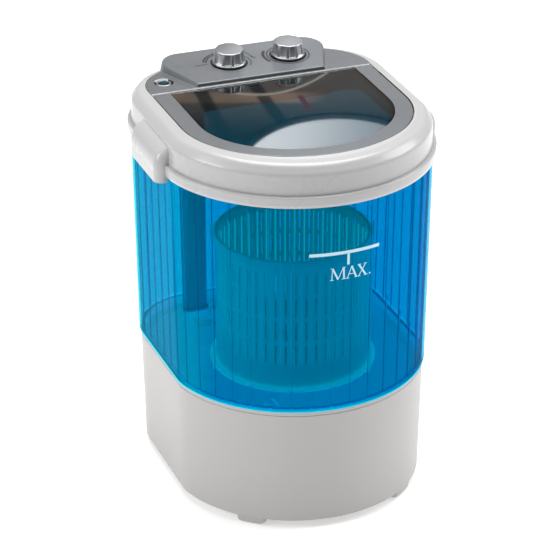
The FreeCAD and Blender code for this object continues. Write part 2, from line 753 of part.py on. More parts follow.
def make_base_housing():
    """White skirt that hides the drive: a tapered wall, a shelf that carries the tub, and screw posts."""
    outer = BODY.taper([(BASE_FOOT_OFFSET, BASE_BOTTOM), (BASE_TOP_OFFSET, BASE_TOP)])
    inner = BODY.taper(
        [
            (BASE_FOOT_OFFSET - BASE_WALL, BASE_BOTTOM),
            (BASE_TOP_OFFSET - BASE_WALL, BASE_TOP),
        ]
    )
    shelf_top = TUB_FLOOR_BOTTOM
    shelf_out = base_wall_offset(shelf_top) - SOLID_BITE
    shelf = BODY.prism(shelf_out, shelf_top - SHELF, shelf_top)
    shelf_in = BASE_TOP_OFFSET - BASE_WALL - SHELF_REACH
    shelf = shelf.cut(BODY.prism(shelf_in, shelf_top - SHELF, shelf_top))
    plate_top = BASE_BOTTOM + PLATE
    posts = [rod(POST_RADIUS, plate_top, shelf_top, x, y) for x, y in post_spots()]
    shell = joined(outer.cut(inner), shelf, outlet_pocket(BASE_WALL).common(outer), *posts)
    groove_z = BASE_TOP - BASE_GROOVE_DROP
    groove_out = base_wall_offset(groove_z)
    groove_top = groove_z + BASE_GROOVE_WIDTH
    groove = BODY.prism(groove_out + 1, groove_z, groove_top)
    groove = groove.cut(BODY.prism(groove_out - BASE_GROOVE_DEPTH, groove_z, groove_top))
    rear = BODY_BACK - REAR_CUT_DEPTH
    relief = TUB_FLOOR_BOTTOM - SUMP_RELIEF
    relief_radius = SUMP_RADIUS + SUMP_FLANGE_REACH + SUMP_RELIEF_GAP
    holes = [
        groove,
        outlet_pocket(0.0),
        cross_rod(OUTLET_STEM_RADIUS + FIT_GAP, rear, BODY_BACK, DRAIN[0], OUTLET_HEIGHT),
        cross_rod(GLAND_RADIUS, rear, BODY_BACK, GLAND_X, GLAND_HEIGHT),
        duct_plug(TUB_FLOOR_BOTTOM - DUCT_RELIEF, TUB_FLOOR_BOTTOM, FIT_GAP),
        rod(relief_radius, relief, TUB_FLOOR_BOTTOM, *DRAIN),
    ]
    holes += [rod(SCREW_RADIUS, plate_top, plate_top + POST_HOLE, x, y) for x, y in post_spots()]
    boss_top = plate_top + FOOT_BOSS + FIT_GAP
    for x, y in foot_spots().values():
        holes.append(rod(POST_RADIUS + FIT_GAP, plate_top, boss_top, x, y))
    holes += [rod(SCREW_RADIUS, shelf_top - SHELF, shelf_top, x, y) for x, y in tub_screw_spots()]
    for row in range(REAR_VENTS):
        z = REAR_VENT_LOW + REAR_VENT_PITCH * row
        half = REAR_VENT_HALF
        holes.append(box(-half, half, rear, BODY_BACK, z, z + REAR_VENT_WIDTH))
    return shell.cut(holes)


def make_base_plate():
    """Flat bottom cover with cooling slots and a boss above each foot."""
    plate = BODY.prism(BASE_FOOT_OFFSET - BASE_WALL - PLATE_GAP, BASE_BOTTOM, BASE_BOTTOM + PLATE)
    top = BASE_BOTTOM + PLATE
    bosses = [rod(POST_RADIUS, top, top + FOOT_BOSS, x, y) for x, y in foot_spots().values()]
    plate = joined(plate, *bosses)
    holes = []
    for x, y in post_spots():
        holes.append(rod(SCREW_RADIUS + SHANK_CLEARANCE, BASE_BOTTOM, top, x, y))
        head_top = BASE_BOTTOM + SCREW_HEAD
        holes.append(rod(SCREW_HEAD_RADIUS + HEAD_CLEARANCE, BASE_BOTTOM, head_top, x, y))
    holes += [rod(SCREW_RADIUS, BASE_BOTTOM, top + FOOT_HOLE, x, y) for x, y in foot_spots().values()]
    half = PLATE_VENT_WIDTH / 2
    for column in range(PLATE_VENTS):
        x = (column - (PLATE_VENTS - 1) / 2) * PLATE_VENT_PITCH
        holes.append(box(x - half, x + half, PLATE_VENT_FRONT, PLATE_VENT_BACK, BASE_BOTTOM, top))
    return plate.cut(holes)


def foot_spots():
    return {
        "foot_front_left": (-FRONT_FOOT[0], FRONT_FOOT[1]),
        "foot_front_right": FRONT_FOOT,
        "foot_rear_left": (-REAR_FOOT[0], REAR_FOOT[1]),
        "foot_rear_right": REAR_FOOT,
    }


def make_foot(x, y):
    """A tapered foot, flush with the base's wall, with a recess that hides its screw."""
    slant = (FOOT_TOP_RADIUS - FOOT_BOTTOM_RADIUS) / FOOT_HEIGHT
    profile = [
        (0, 0),
        (FOOT_BOTTOM_RADIUS - FOOT_EDGE, 0),
        (FOOT_BOTTOM_RADIUS + slant * FOOT_EDGE, FOOT_EDGE),
        (FOOT_TOP_RADIUS, FOOT_HEIGHT),
        (0, FOOT_HEIGHT),
    ]
    body = turned(profile, x, y)
    room = BODY.taper(
        [
            (BASE_FOOT_OFFSET - FOOT_INSET - FOOT_EDGE, 0),
            (BASE_FOOT_OFFSET - FOOT_INSET, FOOT_EDGE),
            (BASE_FOOT_OFFSET - FOOT_INSET, FOOT_HEIGHT),
        ]
    )
    recess = rod(SCREW_HEAD_RADIUS + 1, 0, FOOT_RECESS + SCREW_HEAD, x, y)
    return body.common(room).cut([recess, rod(SCREW_RADIUS, 0, FOOT_HEIGHT, x, y)])


def make_foot_screws():
    tip = BASE_BOTTOM + PLATE + FOOT_HOLE
    return group([screw(x, y, FOOT_RECESS, tip) for x, y in foot_spots().values()])


def make_base_plate_screws():
    tip = BASE_BOTTOM + PLATE + POST_HOLE
    return group([screw(x, y, BASE_BOTTOM, tip) for x, y in post_spots()])


def tub_screw_spots():
    spots = []
    inset = BASE_TOP_OFFSET - BASE_WALL - SHELF_REACH / 2
    for share in TUB_SCREW_SHARES:
        (x, y), (nx, ny) = BODY.point(share * BODY.length())
        spots.append((x + inset * nx, y + inset * ny))
    return spots


def make_tub_screws():
    head_low = TUB_FLOOR_BOTTOM - SHELF - SCREW_HEAD
    return group([screw(x, y, head_low, TUB_FLOOR_TOP - PILOT_COVER) for x, y in tub_screw_spots()])


# ---------------------------------------------------------------- tub
def tub_wall_offset(z):
    share = (z - BASE_TOP) / (TUB_RIM - BASE_TOP)
    return TUB_FOOT_OFFSET + (TUB_TOP_OFFSET - TUB_FOOT_OFFSET) * share


def tub_rib(distance, low, high):
    """One upright rib on the tub's inner wall, leaning with it."""
    spot, normal = BODY.point(distance)
    across = (-normal[1], normal[0])
    rings = []
    for z in (low, high):
        outer = tub_wall_offset(z) - TUB_WALL + RIB_BITE
        inner = tub_wall_offset(z) - TUB_WALL - RIB_DEPTH
        corners = []
        crest = RIB_CREST_SHARE
        for offset, side in ((outer, -1), (outer, 1), (inner, crest), (inner, -crest)):
            half = side * RIB_WIDTH / 2
            corners.append(
                (
                    spot[0] + offset * normal[0] + half * across[0],
                    spot[1] + offset * normal[1] + half * across[1],
                    z,
                )
            )
        rings.append(polygon(corners))
    return Part.makeLoft(rings, True, True)


def make_outer_tub():
    """Clear blue wash tub: ribbed wall, a flange that sits on the base, and a sunken floor pan."""
    floor_edge = BASE_TOP + TUB_FLOOR
    outer = BODY.taper([(TUB_FOOT_OFFSET, BASE_TOP), (TUB_TOP_OFFSET, TUB_RIM)])
    pan = BODY.prism(PAN_OFFSET, TUB_FLOOR_BOTTOM, floor_edge)
    inner = BODY.taper(
        [
            (tub_wall_offset(floor_edge) - TUB_WALL, floor_edge),
            (TUB_TOP_OFFSET - TUB_WALL, TUB_RIM),
        ]
    )
    pan_inner = BODY.prism(PAN_OFFSET - TUB_WALL, TUB_FLOOR_TOP, floor_edge)
    shell = joined(outer, pan).cut([inner, pan_inner])
    pitch = BODY.length() / RIB_COUNT
    rib_foot, rib_top = floor_edge - 0.5, TUB_RIM - RIB_TOP_DROP
    ribs = [tub_rib((k + 0.5) * pitch, rib_foot, rib_top) for k in range(RIB_COUNT)]
    shell = shell.fuse(ribs)
    holes = [
        rod(SLEEVE_RADIUS + FIT_GAP, TUB_FLOOR_BOTTOM, TUB_FLOOR_TOP, 0, AXIS_Y),
        rod(DRAIN_RADIUS, TUB_FLOOR_BOTTOM, TUB_FLOOR_TOP, *DRAIN),
        duct_plug(TUB_FLOOR_BOTTOM, TUB_FLOOR_TOP, 0.0),
    ]
    tip = TUB_FLOOR_TOP - PILOT_COVER
    screws = [*tub_screw_spots(), *bearing_screw_spots(), *grommet_spots()]
    holes += [rod(SCREW_RADIUS, TUB_FLOOR_BOTTOM, tip, x, y) for x, y in screws]
    return shell.cut(holes)


# ---------------------------------------------------------------- top frame
def grip_solid(side, inset):
    """A pillow on the side of the frame: it swells from the wall downwards; inset shrinks it all round."""
    inner = BODY_HALF_WIDTH + GRIP_ROOT_OFFSET
    out = GRIP_OUT - inset
    front, back = GRIP_FRONT + inset, GRIP_BACK - inset
    top = GRIP_TOP - inset

    def spot(x, z):
        return V(side * x, front, z)

    foot = spot(inner, GRIP_BOTTOM)
    toe = spot(out, GRIP_BOTTOM)
    knee = spot(out, GRIP_KNEE)
    swell = spot(out - GRIP_SWELL, (GRIP_KNEE + top) / 2 + GRIP_SWELL)
    head = spot(inner, top)
    edges = [
        Part.makeLine(foot, toe),
        Part.makeLine(toe, knee),
        Part.Arc(knee, swell, head).toShape(),
        Part.makeLine(head, foot),
    ]
    solid = Part.Face(Part.Wire(edges)).extrude(V(0, back - front, 0))
    corners = [
        e
        for e in solid.Edges
        if min(abs(e.CenterOfMass.y - front), abs(e.CenterOfMass.y - back)) < 0.1
        and abs(e.CenterOfMass.x) > inner + 1
        and abs(e.CenterOfMass.z - GRIP_BOTTOM) > 0.1
    ]
    return solid.makeFillet(GRIP_ROUND - inset, corners)


def grip_pocket(side):
    """The finger recess inside a grip, open below, clear of the tub's wall."""
    tub_face = BODY_HALF_WIDTH + TUB_TOP_OFFSET + FIT_GAP
    low_x, high_x = sorted((side * tub_face, side * GRIP_OUT))
    room = box(low_x, high_x, GRIP_FRONT, GRIP_BACK, GRIP_BOTTOM, GRIP_TOP)
    return grip_solid(side, GRIP_WALL).common(room)


def wash_opening(low, high, grow=0.0):
    """The hole that laundry goes through, grown outwards by grow."""
    shape = COVER.prism(-WASH_OPENING_INSET + grow, low, high)
    back = WASH_OPENING_BACK + grow
    shape = shape.cut(box(-200, 200, back, 200, low, high))
    corners = [
        e
        for e in shape.Edges
        if abs(e.CenterOfMass.y - back) < 0.1 and abs(e.tangentAt(e.FirstParameter).z) > 0.9
    ]
    return shape.makeFillet(WASH_OPENING_ROUND + grow, corners)


def shelf_solid(low, high, grow, wall_offset):
    """The room behind the recess, as wide as the panel's wedge, between two heights."""
    rim = COVER_BACK - SHELF_LEAD
    outline = block_wire(
        rim,
        BLOCK_BACK + grow,
        BLOCK_FRONT_HALF + FLANK + BLOCK_SPLAY * (rim - BLOCK_FRONT) + grow,
        BLOCK_BACK_HALF + FLANK + grow,
        BLOCK_CORNER + grow,
        lambda y: low,
    )
    solid = Part.Face(outline).extrude(V(0, 0, high - low))
    return solid.common(BODY.prism(wall_offset, low, high))


def make_top_frame():
    """White frame: a lip over the tub's rim, a sloping shoulder, a sunken deck and a splash collar."""
    lip = BODY.taper([(-LIP_LEAD, TUB_TOP), (0.0, TUB_TOP + LIP_LEAD_HEIGHT), (0.0, LIP_TOP)])
    lip_edges = [e for e in lip.Edges if e.BoundBox.ZMin > LIP_TOP - 0.01]
    lip = lip.makeFillet(LIP_ROUND, lip_edges)
    upper = Part.makeLoft(
        [
            BODY.wire(WALL_FOOT_OFFSET, LIP_TOP - 2),
            BODY.wire(WALL_TOP_OFFSET, SHOULDER),
            BODY.wire(CROWN_OFFSET, CROWN),
            BODY.wire(FLAT_OFFSET, COVER_PLANE),
        ],
        True,
        True,
    )
    upper = upper.makeFillet(SHOULDER_ROUND, edges_at(upper, SHOULDER))
    upper = upper.makeFillet(CROWN_ROUND, edges_at(upper, CROWN))
    rim_gap = BODY.prism(TUB_TOP_OFFSET + FIT_GAP, GRIP_BOTTOM, TUB_RIM)
    cavity = BODY.taper(
        [
            (WALL_FOOT_OFFSET - FRAME_WALL, TUB_RIM),
            (WALL_TOP_OFFSET - FRAME_WALL, DECK_BOTTOM),
        ]
    )
    recess = COVER.prism(RECESS_GAP, DECK_TOP, COVER_PLANE + 1)
    collar_low = DECK_BOTTOM - COLLAR_DEPTH
    collar = wash_opening(collar_low, DECK_TOP, COLLAR).cut(wash_opening(collar_low, DECK_TOP))
    console = box(
        -BOX_HALF + BOX_LEDGE * 2,
        BOX_HALF - BOX_LEDGE * 2,
        BOX_FRONT + BOX_LEDGE,
        BOX_BACK - BOX_LEDGE,
        DECK_BOTTOM,
        DECK_TOP,
    )
    sleeve = INLET_TUBE_RADIUS + INLET_SLEEVE_WALL
    inlet = rod(sleeve + FIT_GAP, DECK_BOTTOM, DECK_TOP, *INLET)
    shelf_top = COVER_PLANE - SHELF_DROP
    shelf = shelf_solid(shelf_top - SHELF_DEPTH, shelf_top, 0.0, WALL_TOP_OFFSET)
    seat = shelf_solid(shelf_top, COVER_PLANE + 1, RECESS_GAP, 0.0)
    frame = joined(lip, upper, shelf, grip_solid(-1, 0.0), grip_solid(1, 0.0))
    frame = frame.cut([rim_gap, cavity, recess, seat, grip_pocket(-1), grip_pocket(1)])
    frame = joined(frame, collar)
    holes = [wash_opening(collar_low, DECK_TOP), console, inlet]
    for side in (-1, 1):
        start = V(side * COVER_HALF_WIDTH, HINGE_Y, HINGE_Z)
        depth = RECESS_GAP + HINGE_PIN_REACH + HINGE_BORE_GAP
        bore = Part.makeCylinder(HINGE_PIN_RADIUS + SLIP, depth, start, V(side, 0, 0))
        holes.append(bore)
    holes += [rod(SCREW_RADIUS, DECK_BOTTOM, DECK_TOP, x, y) for x, y in panel_screw_spots()]
    return frame.cut(holes)


def make_lid_buffers():
    top = LID_BOTTOM - BUFFER_GAP
    spots = mirrored_pairs([(BUFFER_X, BUFFER_Y)])
    return group([rod(BUFFER_RADIUS, DECK_TOP, top, x, y) for x, y in spots])


# ---------------------------------------------------------------- lid
def make_lid_frame():
    """Silver band round three sides of the window, with a hinge barrel at each rear end."""
    band = COVER.prism(0, LID_BOTTOM, COVER_PLANE)
    top_edges = [e for e in band.Edges if e.BoundBox.ZMin > COVER_PLANE - 0.01]
    band = band.makeFillet(LID_EDGE, top_edges)
    hole = COVER.prism(-LID_BAND, COVER_PLANE - WINDOW_SINK - WINDOW, COVER_PLANE)
    band = band.cut([hole, COVER.prism(-LID_BAND - WINDOW_LEDGE, LID_BOTTOM, COVER_PLANE)])
    inner_x = COVER_HALF_WIDTH - LID_BAND
    ledge_end = HINGE_Y - HINGE_RADIUS - FIT_GAP
    band = band.cut(
        [
            box(-200, 200, HINGE_Y, 200, LID_BOTTOM, COVER_PLANE),
            box(-inner_x, inner_x, ledge_end, HINGE_Y, LID_BOTTOM, COVER_PLANE),
        ]
    )
    parts = [band]
    for side in (-1, 1):
        start = V(side * inner_x, HINGE_Y, HINGE_Z)
        length = LID_BAND - BARREL_END_GAP
        parts.append(Part.makeCylinder(HINGE_RADIUS, length, start, V(side, 0, 0)))
    lid = joined(*parts)
    return lid.cut([hinge_pin(-1), hinge_pin(1)])


def hinge_pin(side):
    outer = COVER_HALF_WIDTH + RECESS_GAP + HINGE_PIN_REACH
    start = V(side * (outer - HINGE_PIN_LENGTH), HINGE_Y, HINGE_Z)
    return Part.makeCylinder(HINGE_PIN_RADIUS, HINGE_PIN_LENGTH, start, V(side, 0, 0))


def make_lid_window():
    """Smoked pane with a round rear edge that lies on the hinge line."""
    high = COVER_PLANE - WINDOW_SINK
    low = high - WINDOW
    pane = COVER.prism(-LID_BAND - WINDOW_GAP, low, high).cut(box(-200, 200, HINGE_Y, 200, low, high))
    half = COVER_HALF_WIDTH - LID_BAND - WINDOW_GAP
    barrel = Part.makeCylinder(HINGE_RADIUS, 2 * half, V(-half, HINGE_Y, HINGE_Z), V(1, 0, 0))
    return joined(pane, barrel)


# ---------------------------------------------------------------- control panel
def corner_arc(before, corner, after, radius, lift):
    """The rounded corner between two straight edges: its start, middle and end."""
    one = V(*before) - V(*corner)
    two = V(*after) - V(*corner)
    one.normalize()
    two.normalize()
    half_angle = math.acos(max(-1.0, min(1.0, one.dot(two)))) / 2
    start = V(*corner) + one * (radius / math.tan(half_angle))
    end = V(*corner) + two * (radius / math.tan(half_angle))
    middle_line = one + two
    middle_line.normalize()
    centre = V(*corner) + middle_line * (radius / math.sin(half_angle))
    middle = centre - middle_line * radius
    return [V(p.x, p.y, lift(p.y)) for p in (start, middle, end)]


def block_wire(front, back, front_half, back_half, radius, lift):
    """One ring of the wedge: a trapezium with round rear corners; lift gives its height at each y."""
    rear = corner_arc(
        (front_half, front, 0), (back_half, back, 0), (0, back, 0), radius, lift
    )
    right = V(front_half, front, lift(front))
    left = V(-front_half, front, lift(front))
    flipped = [V(-p.x, p.y, p.z) for p in rear]
    edges = [
        Part.makeLine(left, right),
        Part.makeLine(right, rear[0]),
        Part.Arc(*rear).toShape(),
        Part.makeLine(rear[2], flipped[2]),
        Part.Arc(flipped[2], flipped[1], flipped[0]).toShape(),
        Part.makeLine(flipped[0], left),
    ]
    return Part.Wire(edges)


def block_solid(inset, foot):
    """The wedge, made smaller by inset on every side and on top."""
    top = COVER_PLANE + BLOCK_FRONT_RISE - inset * BLOCK_EDGE_TRIM

    def slope(y):
        return top + BLOCK_SLOPE * (y - BLOCK_FRONT)

    lower = block_wire(
        BLOCK_FRONT + inset,
        BLOCK_BACK - inset,
        BLOCK_FRONT_HALF + FLANK - inset,
        BLOCK_BACK_HALF + FLANK - inset,
        BLOCK_CORNER - inset,
        lambda y: foot,
    )
    upper = block_wire(
        BLOCK_FRONT + inset,
        BLOCK_BACK - inset,
        BLOCK_FRONT_HALF - inset,
        BLOCK_BACK_HALF - inset,
        BLOCK_CORNER - inset,
        slope,
    )
    return Part.makeLoft([lower, upper], True, True)


def panel_screw_spots():
    """Two screws near the hinge line and one in each rear wing."""
    inset, behind = FRONT_SCREW_INSET
    front = mirrored_pairs([(COVER_HALF_WIDTH - inset, HINGE_Y + behind)])
    left = (LEFT_SCREW_INSET[0] - COVER_HALF_WIDTH, COVER_BACK - LEFT_SCREW_INSET[1])
    right = (COVER_HALF_WIDTH - RIGHT_SCREW_INSET[0], COVER_BACK - RIGHT_SCREW_INSET[1])
    return [*front, left, right]


def make_control_panel():
    """Silver panel: two flat wings and a raised wedge that carries the knobs."""
    behind = box(-200, 200, PANEL_FRONT, 200, DECK_TOP, COVER_PLANE)
    plate = COVER.prism(0, DECK_TOP + PANEL_LIFT, COVER_PLANE).common(behind)
    block = block_solid(0.0, COVER_PLANE - BLOCK_SINK)
    top_edges = [
        e
        for e in block.Edges
        if abs(e.CenterOfMass.z - slope_height(e.CenterOfMass.y)) < 0.4
    ]
    block = block.makeFillet(BLOCK_EDGE, top_edges)
    hollow = COVER.prism(-PANEL_WALL, DECK_TOP, COVER_PLANE - PANEL_WALL)
    hollow = hollow.common(box(-200, 200, PANEL_FRONT + PANEL_WALL, 200, DECK_TOP, COVER_PLANE))
    block_hollow = block_solid(PANEL_WALL, COVER_PLANE - PANEL_WALL - BLOCK_SINK)
    holes = [hollow, block_hollow]
    for x in (SELECTOR_X, TIMER_X):
        holes.append(panel_rod(WELL_RADIUS, x, -WELL_DEPTH, 2.0))
        holes.append(panel_rod(STEM_RADIUS + STEM_CLEARANCE, x, -WELL_DEPTH - PANEL_WALL - 2.0, 2.0))
    holes.append(rod(INLET_RADIUS, DECK_TOP, COVER_PLANE, *INLET))
    panel = joined(plate, block).cut(holes)
    low, high = DECK_TOP + PANEL_LIFT, COVER_PLANE - PANEL_POST_TOP
    posts = [rod(PANEL_POST_RADIUS, low, high, x, y) for x, y in panel_screw_spots()]
    panel = joined(panel, *posts)
    tip = COVER_PLANE - PANEL_SKIN
    sockets = [rod(SCREW_RADIUS, DECK_TOP, tip, x, y) for x, y in panel_screw_spots()]
    return panel.cut(sockets)


def slope_height(y):
    return COVER_PLANE + BLOCK_FRONT_RISE + BLOCK_SLOPE * (y - BLOCK_FRONT)


def make_panel_screws():
    head_low, tip = DECK_BOTTOM - SCREW_HEAD, COVER_PLANE - PANEL_SKIN
    return group([screw(x, y, head_low, tip) for x, y in panel_screw_spots()])


def make_bezel(x):
    """Black ring at the bottom of a knob's well."""
    low, high = -WELL_DEPTH, -WELL_DEPTH + BEZEL
    return panel_rod(WELL_RADIUS - BEZEL_GAP, x, low, high).cut(
        panel_rod(STEM_RADIUS + STEM_CLEARANCE - 0.5, x, low, high)
    )


def place_on_panel(shape, x, turn):
    """Moves a shape built about the Z axis to a knob's place on the slope, after turning it."""
    shape.rotate(V(0, 0, 0), V(0, 0, 1), turn)
    shape.rotate(V(0, 0, 0), V(1, 0, 0), math.degrees(BLOCK_TILT))
    shape.translate(panel_point(x, KNOB_Y))
    return shape


def make_knob(x, turn):
    """Faceted knob: a round skirt that narrows to an oval top, with framed panels round its side."""
    skirt_top = KNOB_LIFT + KNOB_SKIRT
    top = KNOB_HEIGHT
    skirt = rod(KNOB_RADIUS, KNOB_LIFT, skirt_top)
    foot = Part.Wire(Part.Circle(V(0, 0, skirt_top), V(0, 0, 1), KNOB_RADIUS - KNOB_STEP).toShape())
    ellipse = Part.Ellipse(V(0, 0, top), KNOB_TOP_LONG, KNOB_TOP_SHORT)
    crown = Part.Wire(ellipse.toShape())
    body = Part.makeLoft([foot, crown], True, True)
    rim = [e for e in body.Edges if e.BoundBox.ZMin > top - 0.01]
    body = body.makeFillet(KNOB_EDGE, rim)
    knob = skirt.fuse(body)
    pockets = []
    for k in range(KNOB_POCKETS):
        angle = 2 * math.pi * (k + 0.5) / KNOB_POCKETS
        reach = math.hypot(KNOB_TOP_LONG * math.cos(angle), KNOB_TOP_SHORT * math.sin(angle))
        lean = math.atan((KNOB_RADIUS - KNOB_STEP - reach) / (top - skirt_top))
        middle = (KNOB_RADIUS - KNOB_STEP + reach) / 2
        low = -KNOB_POCKET_HEIGHT / 2 - KNOB_POCKET_DROP
        half = KNOB_POCKET_WIDTH / 2
        pocket = box(-KNOB_POCKET_DEPTH, 4.0, -half, half, low, low + KNOB_POCKET_HEIGHT)
        pocket.rotate(V(0, 0, 0), V(0, 1, 0), -math.degrees(lean))
        pocket.translate(V(middle, 0, (top + skirt_top) / 2))
        pocket.rotate(V(0, 0, 0), V(0, 0, 1), math.degrees(angle))
        pockets.append(pocket)
    start = KNOB_TOP_LONG - POINTER_INSET - POINTER_LENGTH
    half = POINTER_WIDTH / 2
    pointer = box(start, start + POINTER_LENGTH, -half, half, top - POINTER_DEPTH, top + 1)
    socket = rod(STEM_RADIUS, KNOB_LIFT, KNOB_LIFT + KNOB_SOCKET)
    knob = knob.cut([*pockets, pointer, socket])
    return place_on_panel(knob, x, turn)


def make_stem(x, turn):
    """Shaft between a knob and its switch."""
    stem = rod(STEM_RADIUS, -STEM_DROP - SWITCH_DEPTH / 2, KNOB_LIFT + KNOB_SOCKET)
    return place_on_panel(stem, x, turn)


def make_switch(x, round_body):
    """Body of the selector switch or of the spring timer, with its mounting ears."""
    top = -PANEL_WALL - WELL_DEPTH - SWITCH_DROP
    low = top - SWITCH_DEPTH
    if round_body:
        body = rod(SWITCH_RADIUS, low, top - SWITCH_PLATE)
    else:
        half = SWITCH_RADIUS * SWITCH_SQUARE_SHARE
        body = box(-half, half, -half, half, low, top - SWITCH_PLATE)
    reach = SWITCH_RADIUS + SWITCH_EAR
    plate = box(-reach, reach, -SWITCH_EAR_HALF, SWITCH_EAR_HALF, top - SWITCH_PLATE, top)
    socket = rod(STEM_RADIUS + SLIP, -STEM_DROP - SWITCH_DEPTH / 2 - 0.5, top)
    body = body.fuse(plate).cut(socket)
    terminals = [box(dx - 1, dx + 1, -3, 3, low - TERMINAL_LENGTH, low) for dx in TERMINAL_ROW]
    return place_on_panel(body.fuse(terminals), x, 0.0)


def make_control_box():
    """Splash-proof tray under the deck, round the switches."""
    low = DECK_BOTTOM - BOX_DEPTH
    outer = box(-BOX_HALF, BOX_HALF, BOX_FRONT, BOX_BACK, low, DECK_BOTTOM)
    upright = [e for e in outer.Edges if abs(e.tangentAt(e.FirstParameter).z) > 0.9]
    outer = outer.makeFillet(BOX_ROUND, upright)
    inner = box(
        -BOX_HALF + BOX_WALL,
        BOX_HALF - BOX_WALL,
        BOX_FRONT + BOX_WALL,
        BOX_BACK - BOX_WALL,
        low + BOX_WALL,
        DECK_BOTTOM,
    )
    hole = duct_plug(low, low + BOX_WALL, FIT_GAP)
    return outer.cut([inner, hole])


# ---------------------------------------------------------------- water and wiring
def make_inlet_socket():
    """Dark socket under the panel that holds the inlet tube."""
    sleeve = INLET_TUBE_RADIUS + INLET_SLEEVE_WALL
    bottom = COVER_PLANE - INLET_LENGTH
    flange_top = DECK_TOP + INLET_SLEEVE_WALL
    body = rod(sleeve, bottom, flange_top, *INLET)
    flange = rod(INLET_RADIUS + INLET_FLANGE, DECK_TOP, flange_top, *INLET)
    return joined(body, flange).cut(rod(INLET_TUBE_RADIUS + SLIP, bottom, COVER_PLANE, *INLET))


def make_inlet_tube():
    """Bright tube that a water hose pushes into."""
    low, high = COVER_PLANE - INLET_LENGTH, COVER_PLANE - INLET_SINK
    outer = rod(INLET_TUBE_RADIUS, low, high, *INLET)
    outer = outer.makeFillet(INLET_EDGE, edges_at(outer, high))
    return outer.cut(rod(INLET_BORE, low, high, *INLET))


def make_drain_grille():
    """Slotted cover over the drain in the tub floor."""
    x, y = DRAIN
    top = TUB_FLOOR_TOP + GRILLE_THICKNESS
    disc = rod(DRAIN_RADIUS + GRILLE_REACH, TUB_FLOOR_TOP, top, x, y)
    ring_out = DRAIN_RADIUS - FIT_GAP
    ring = tube(ring_out, ring_out - GRILLE_RING_WALL, TUB_FLOOR_BOTTOM, TUB_FLOOR_TOP, x, y)
    slots = []
    for k in range(GRILLE_SLOTS):
        sx = x + (k - (GRILLE_SLOTS - 1) / 2) * GRILLE_PITCH
        half = math.sqrt((DRAIN_RADIUS - 3) ** 2 - (sx - x) ** 2)
        across = GRILLE_SLOT / 2
        slots.append(box(sx - across, sx + across, y - half, y + half, TUB_FLOOR_BOTTOM, top))
    return joined(disc, ring).cut(slots)


def make_drain_sump():
    """Cup under the tub's drain hole."""
    x, y = DRAIN
    inner = SUMP_RADIUS - SUMP_WALL
    top = TUB_FLOOR_BOTTOM
    body = rod(SUMP_RADIUS, SUMP_BOTTOM, top, x, y)
    flange = rod(SUMP_RADIUS + SUMP_FLANGE_REACH, top - SUMP_FLANGE, top, x, y)
    cup = joined(body, flange).cut(rod(inner, SUMP_BOTTOM + SUMP_WALL, top, x, y))
    stem = cross_rod(OUTLET_STEM_RADIUS, y, y + SUMP_RADIUS + 4, x, OUTLET_HEIGHT)
    return cup.cut(stem)


def make_outlet_spigot():
    """Pipe from the sump through the rear of the base, with a plain end for the drain hose."""
    x, y = DRAIN
    start = y + SUMP_RADIUS - SUMP_WALL
    step = pocket_floor() + 1.0
    stem = cross_rod(OUTLET_STEM_RADIUS, start, step, x, OUTLET_HEIGHT)
    nose = cross_rod(OUTLET_RADIUS, step, OUTLET_END, x, OUTLET_HEIGHT)
    pipe = joined(stem, nose)
    cup = rod(SUMP_RADIUS - SUMP_WALL, SUMP_BOTTOM, TUB_FLOOR_BOTTOM, x, y)
    bore = cross_rod(OUTLET_RADIUS - OUTLET_WALL, start - 5, OUTLET_END, x, OUTLET_HEIGHT)
    return pipe.cut([bore, cup])


def make_cord_gland():
    """Bush where the mains lead enters the rear of the base."""
    back = BODY_BACK + base_wall_offset(GLAND_HEIGHT)
    start, end = back - BASE_WALL - GLAND_INSIDE, back + GLAND_OUTSIDE
    wide = GLAND_RADIUS + GLAND_FLANGE
    body = cross_rod(GLAND_RADIUS, start, end - SOLID_BITE, GLAND_X, GLAND_HEIGHT)
    collar = cross_rod(wide, back + FIT_GAP, end, GLAND_X, GLAND_HEIGHT)
    nut = cross_rod(wide, start, back - BASE_WALL - PLATE_GAP, GLAND_X, GLAND_HEIGHT)
    hole = cross_rod(GLAND_HOLE, start, end, GLAND_X, GLAND_HEIGHT)
    return joined(body, collar, nut).cut(hole)


def duct_plug(low, high, grow):
    """The duct's outer shape, grown by grow: a flat bar with round ends."""
    half = DUCT_THICKNESS / 2 + grow
    reach = (DUCT_WIDTH - DUCT_THICKNESS) / 2
    middle = box(DUCT_X - reach, DUCT_X + reach, DUCT_Y - half, DUCT_Y + half, low, high)
    ends = [rod(half, low, high, DUCT_X + side * reach, DUCT_Y) for side in (-1, 1)]
    return joined(middle, *ends)


def make_cable_duct():
    """Pipe that carries the wires from the control box, past the water, to the base."""
    low = TUB_FLOOR_BOTTOM - DUCT_BELOW_FLOOR
    high = DECK_BOTTOM - BOX_DEPTH + BOX_WALL
    skin = duct_plug(low, high, 0.0)
    hollow = duct_plug(low, high, -DUCT_WALL)
    collar = duct_plug(TUB_FLOOR_TOP, TUB_FLOOR_TOP + DUCT_COLLAR, DUCT_COLLAR_REACH)
    return joined(skin, collar).cut(hollow)


def harness_level():
    return TUB_FLOOR_BOTTOM - HARNESS_DROP


